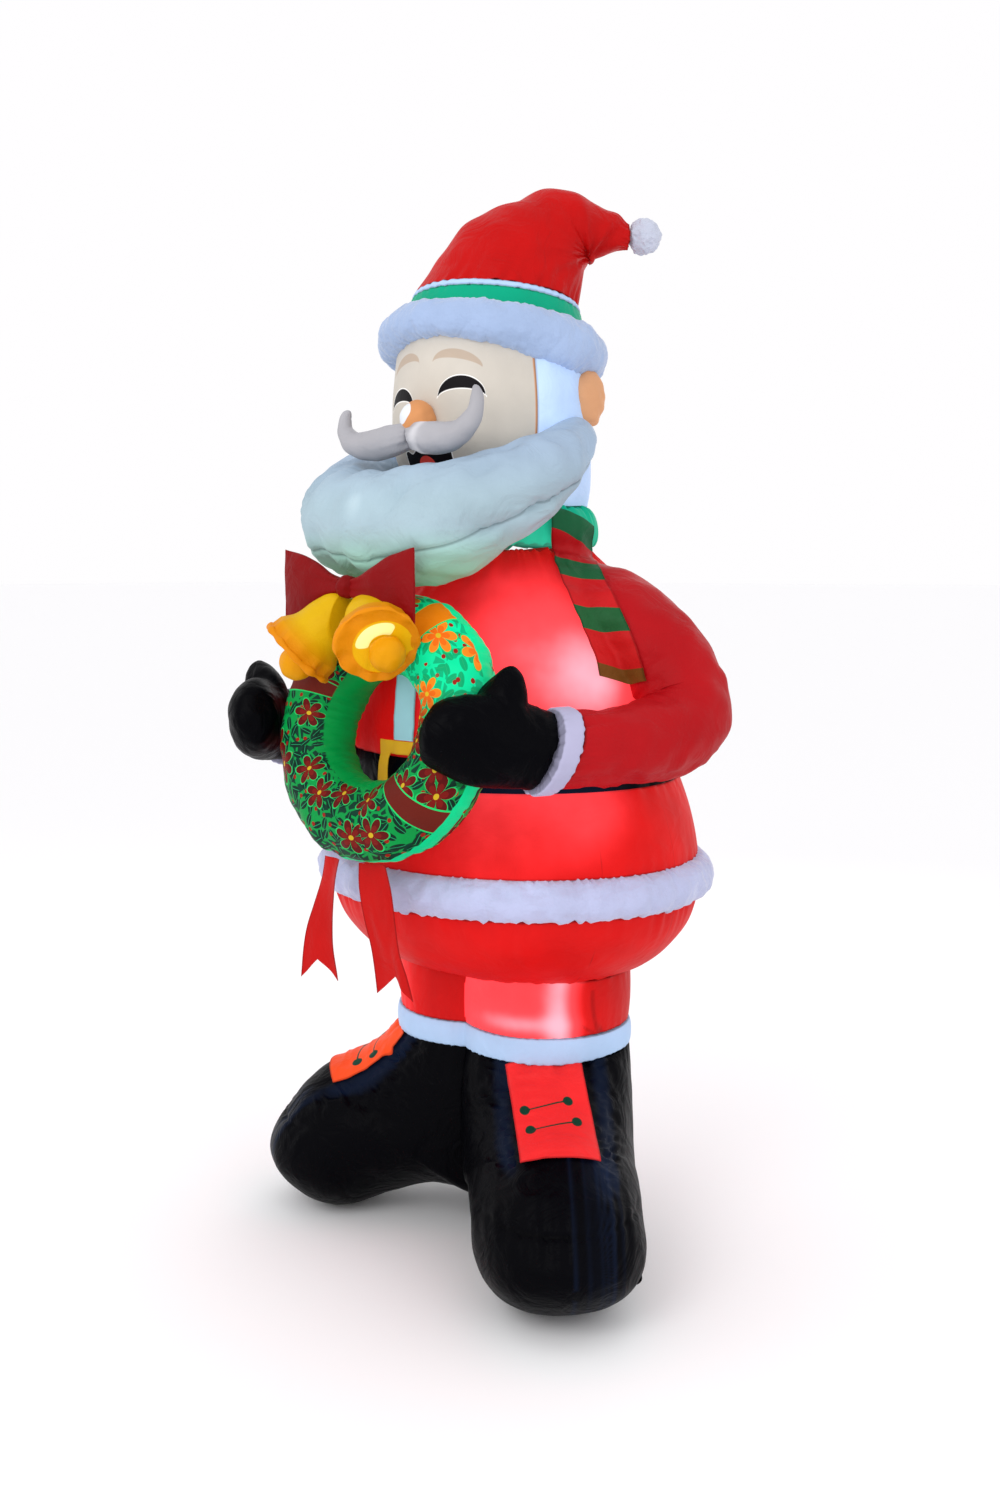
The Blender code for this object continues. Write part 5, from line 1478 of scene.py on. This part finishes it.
def printed_bell_and_highlight(tree):
    """Gold cloth, orange on the rim, with a yellow disc and a pale painted highlight in the mouth."""
    rimward = step_at(tree, trait(tree, "mouthward"), 0.10, 0.16)
    body = blend_of(tree, rimward, tint(214, 170, 8), tint(216, 132, 6))
    disc = step_at(tree, trait(tree, "from_axis"), 0.0620, 0.0632)
    painted_gleam = step_at(tree, trait(tree, "painted_gleam"), -0.0008, 0.0008)
    inside = blend_of(tree, painted_gleam, tint(248, 246, 160), tint(226, 172, 8))
    return blend_of(tree, disc, inside, body)


BELL_CLOTH = nylon("bell_print_and_highlight", None, tint(255, 240, 120), glow_gain=0.6, pattern=printed_bell_and_highlight, crease=0.45)
CLAPPER_CLOTH = nylon("clapper_nylon", tint(216, 146, 4), tint(255, 240, 120), glow_gain=0.6, crease=0.4)
for word, side in SIDES.items():
    way = BELL_WAY[word] / np.linalg.norm(BELL_WAY[word])
    knot = BELL_KNOT[word]
    across = np.cross(way, UP)
    across /= np.linalg.norm(across)
    along = np.cross(across, way)
    body = [(share * (BELL_LENGTH - BELL_LIP), radius * BELL_RADIUS) for share, radius in BELL_PROFILE]
    rows = smooth(body, 10)
    lip = BELL_LENGTH - BELL_LIP
    bend = np.linspace(-0.5 * math.pi, 0.5 * math.pi, 14)
    rim_out = lip + BELL_LIP / 2 + BELL_LIP / 2 * np.sin(bend)
    rim = np.stack((rim_out, BELL_RADIUS - 0.006 + 0.006 * np.cos(bend)), axis=-1)
    mouth = np.array([(BELL_LENGTH - 0.001, 0.076), (BELL_LENGTH - 0.004, 0.068)])
    disc_rings = (0.062, 0.050, 0.040, 0.030, 0.020, 0.010)
    disc = np.array([(BELL_LENGTH - BELL_RECESS, radius) for radius in disc_rings])
    rows = np.concatenate((rows, rim, mouth, disc))
    turn = turn_round(150)[None, :, None]
    ring = across * np.cos(turn) + along * np.sin(turn)
    grid = knot + way * rows[:, 0][:, None, None] + rows[:, 1][:, None, None] * ring
    rim_near = np.exp(-(np.abs(rows[:, 1] - 0.078) / 0.010) ** 2 - ((rows[:, 0] - BELL_LENGTH) / 0.02) ** 2)
    waist = np.exp(-((rows[:, 0] - lip) / 0.022) ** 2)
    amount = 0.0018 * ripples(grid, 191 + side, 0.07)
    amount -= 0.0035 * rim_near[:, None] * gathers(150, 192 + side, 6)[None, :]
    amount -= 0.0022 * waist[:, None] * gathers(150, 193 + side, 9)[None, :]
    inside_mouth = (rows[:, 1] < 0.064) & (rows[:, 0] > BELL_LENGTH - 0.02)
    amount[inside_mouth] = 0
    grid = press(grid, amount)
    # The disc and the clapper hang off the middle, down and outwards
    off_middle = -across * side * 0.014 - along * 0.008
    grid[inside_mouth] += off_middle
    grid[..., 0] = knot[0] + side * np.maximum(side * (grid[..., 0] - knot[0]), SEAM_GAP)
    from_axis = np.where(rows[:, 0] > BELL_LENGTH - 0.012, rows[:, 1], 0.09)[:, None] + np.zeros(150)
    # A pale crescent in the mouth is a painted highlight
    angle = np.degrees(turn_round(150))[None, :]
    bearing = np.abs((angle - (55 if side > 0 else 125) + 180) % 360 - 180)
    radius = rows[:, 1][:, None]
    painted_gleam = np.maximum(np.abs(radius - 0.045) - 0.014, (bearing - 58) * 0.0008)
    traits = {"mouthward": rows[:, 0][:, None] + np.zeros(150), "from_axis": from_axis, "painted_gleam": painted_gleam}
    traits["lamp_glow"] = 0.14 + 0.12 * (from_axis < 0.064)
    dress(f"bell_{word}", grid, BELL_CLOTH, "bell_cloth", traits)

    clapper_out = BELL_LENGTH - BELL_RECESS + CLAPPER_RADIUS * 0.5 + SEAM_GAP
    centre = knot + off_middle * 1.35 + way * clapper_out
    tilt = np.linspace(math.radians(119), 0.03, 40)
    reach = CLAPPER_RADIUS * np.cos(tilt)
    girth = CLAPPER_RADIUS * np.sin(tilt)
    grid = centre + way * reach[:, None, None] + girth[:, None, None] * ring
    foot_folds = np.exp(-np.arange(40) / 4)[:, None] * gathers(150, 196, 12)[None, :]
    grid = press(grid, 0.0008 * ripples(grid, 195, 0.03) - 0.001 * foot_folds)
    traits = {"from_seam_and_shadow": rows_apart(grid)[:, None], "lamp_glow": 0.12}
    dress(f"bell_clapper_{word}", grid, CLAPPER_CLOTH, "bell_cloth", traits)

grid = pouch(BOW_PLACE, KNOT_HALF_SIZE, 40, 60, 201, 0.0012)
dress("bow_knot", grid, BOW_CLOTH, "bow_cloth", {"lamp_glow": 0.0})
BOW_ROWS = (
    (0.00, 0.26, 0.60),
    (0.20, 0.40, 0.90),
    (0.50, 0.72, 1.00),
    (0.80, 0.92, 0.75),
    (1.00, 1.00, 0.15),
)
for word, side in SIDES.items():
    rows = smooth(BOW_ROWS, 12)
    half_knot = KNOT_HALF_SIZE[0] * 0.8
    turn = turn_round(90)[None, :]
    x = BOW_PLACE[0] + side * (half_knot + (BOW_HALF_WIDTH - half_knot) * rows[:, 0])[:, None] + 0 * turn
    flat = np.sign(np.cos(turn)) * np.abs(np.cos(turn)) ** 0.8
    y = BOW_PLACE[1] + BOW_HALF_THICKNESS * rows[:, 2][:, None] * flat
    z = BOW_PLACE[2] + BOW_HALF_HEIGHT * rows[:, 1][:, None] * np.sin(turn)
    grid = np.stack((x, y, z), axis=-1)
    spread = (z - BOW_PLACE[2]) / (0.3 + rows[:, 0][:, None])
    fan = ripples_along(spread, 203 + side, 0.035)
    from_knot = np.exp(-rows[:, 0][:, None] / 0.5)
    grid = press(grid, 0.0026 * fan * from_knot + 0.0016 * ripples(grid, 204 + side, 0.06))
    dress(f"bow_loop_{word}", grid, BOW_CLOTH, "bow_cloth", {"lamp_glow": 0.05 + 0.15 * (side > 0)})

# The ribbon tails: two flat strips of thin red cloth that hang from under the wreath, wider towards
# their swallow-tailed ends. They are cut flat, and hang with soft lengthwise waves.
RIBBON_FORWARD = 0.520
RIBBON_TOP = 0.962
RIBBON_NOTCH = 0.045
TAIL_ROWS = {
    "left": (
        (0.044, -RIBBON_FORWARD, RIBBON_TOP, 0.034, 0.15),
        (0.052, -0.522, 0.910, 0.040, 0.20),
        (0.070, -0.528, 0.850, 0.042, 0.10),
        (0.094, -0.534, 0.790, 0.046, -0.10),
        (0.112, -0.536, 0.740, 0.048, -0.05),
        (0.122, -0.536, 0.690, 0.052, -0.05),
    ),
    "right": (
        (-0.076, -RIBBON_FORWARD, RIBBON_TOP, 0.028, -0.15),
        (-0.088, -0.522, 0.910, 0.033, -0.25),
        (-0.100, -0.528, 0.850, 0.034, -0.10),
        (-0.108, -0.532, 0.796, 0.038, 0.10),
        (-0.112, -0.534, 0.742, 0.042, 0.20),
        (-0.112, -0.534, 0.688, 0.046, 0.25),
    ),
}
RIBBON_CLOTH = nylon("ribbon_nylon", tint(186, 16, 14), tint(255, 90, 70), crease=0.5)


def flat_area(grid):
    """The area of an open grid of cloth, the sum of its cells."""
    one = grid[1:, 1:] - grid[:-1, :-1]
    two = grid[1:, :-1] - grid[:-1, 1:]
    return float(np.linalg.norm(np.cross(one, two), axis=-1).sum() / 2)


for word, rows in TAIL_ROWS.items():
    rows = smooth(rows, 12)
    share = np.linspace(-1, 1, 31)[None, :]
    width = rows[:, 3][:, None] * share
    x = rows[:, 0][:, None] + width * np.cos(rows[:, 4])[:, None]
    y = rows[:, 1][:, None] + width * np.sin(rows[:, 4])[:, None]
    z = np.broadcast_to(rows[:, 2][:, None], x.shape).copy()
    ending = np.linspace(0, 1, len(rows))[:, None] ** 3
    z += RIBBON_NOTCH * (1 - np.abs(share)) * ending
    y += 0.004 * ripples(np.stack((width, z * 0.25, 0 * z), axis=-1), 211 if word == "left" else 212, 0.05)
    grid = np.stack((x, y, z), axis=-1)
    length = float(rows_apart(grid)[-1])
    area = flat_area(grid)
    traits = {"from_seam_and_shadow": rows[:, 3][:, None] * (1 - np.abs(share)), "lamp_glow": 0.05}
    tail = slab(grid, 0.0012, traits, f"ribbon_tail_{word}_cloth")
    fit_out(tail, RIBBON_CLOTH, "ribbon_cloth", f"ribbon_tail_{word}", fill=None)
    widest = float(rows[:, 3].max() * 2)
    flat = (round(widest, 4), round(length, 4))

# The scarf's end: a flat sheet of striped red and green cloth from the collar over the front of the
# left shoulder, cut square at its end. It lies on the coat and the sleeve.
SCARF_LINE = (
    (0.196, -0.030, 1.700),
    (0.215, -0.050, 1.640),
    (0.262, -0.085, 1.580),
    (0.310, -0.105, 1.520),
    (0.346, -0.110, 1.460),
    (0.372, -0.105, 1.400),
    (0.388, -0.100, 1.345),
)
SCARF_HALF_WIDTH = 0.050
SCARF_LIFT = 0.012


def striped(tree):
    along = trait(tree, "along")
    ramp = put(tree, "ValToRGB", None, {0: along})
    ramp.color_ramp.interpolation = "CONSTANT"
    stripes = (
        (0.00, tint(22, 92, 56)),
        (0.12, tint(178, 20, 26)),
        (0.30, tint(30, 92, 54)),
        (0.43, tint(196, 26, 30)),
        (0.62, tint(34, 90, 50)),
        (0.75, tint(192, 26, 28)),
        (0.93, tint(112, 70, 24)),
    )
    elements = ramp.color_ramp.elements
    while len(elements) < len(stripes):
        elements.new(0.5)
    for element, (place, shade) in zip(elements, stripes):
        element.position = place
        element.color = shade
    return ramp.outputs[0]


SCARF_CLOTH = nylon("scarf_print", None, tint(255, 120, 100), glow_gain=0.3, pattern=striped, crease=0.5)
line = smooth(SCARF_LINE, 12)
look = np.array((0.62, -0.70, 0.35))
look /= np.linalg.norm(look)
side_way = np.array((0.72, 0.62, -0.12))
side_way /= np.linalg.norm(side_way)
share = np.linspace(-1, 1, 31)[None, :, None]
starts = line[:, None] + look * 0.4 + side_way * SCARF_HALF_WIDTH * share
grid = drop_onto(surface_under(coat["coat_upper"], COLLAR, sleeves["left"]), starts, -look, SCARF_LIFT)
grid = eased(grid, 6)
down = rows_apart(grid)
aside = SCARF_HALF_WIDTH * share[..., 0]
downwards = down[:, None] + 0 * aside
along_scarf = np.stack((downwards, 0.3 * aside + 0 * downwards, 0 * downwards), axis=-1)
grid = press(grid, 0.0022 * ripples(along_scarf, 221, 0.05), wraps=False)
length = float(rows_apart(grid)[-1])
area = flat_area(grid)
edge = SCARF_HALF_WIDTH - np.abs(aside)
traits = {"along": (down / down[-1])[:, None], "from_seam_and_shadow": edge, "lamp_glow": 0.12}
scarf = slab(grid, 0.0016, traits, "scarf_tail_cloth")
fit_out(scarf, SCARF_CLOTH, "scarf_print", "scarf_tail", fill=None)
width = max(2 * SCARF_HALF_WIDTH, area / length)
flat = (round(width + 0.0002, 4), round(length, 4))

bpy.context.view_layer.update()
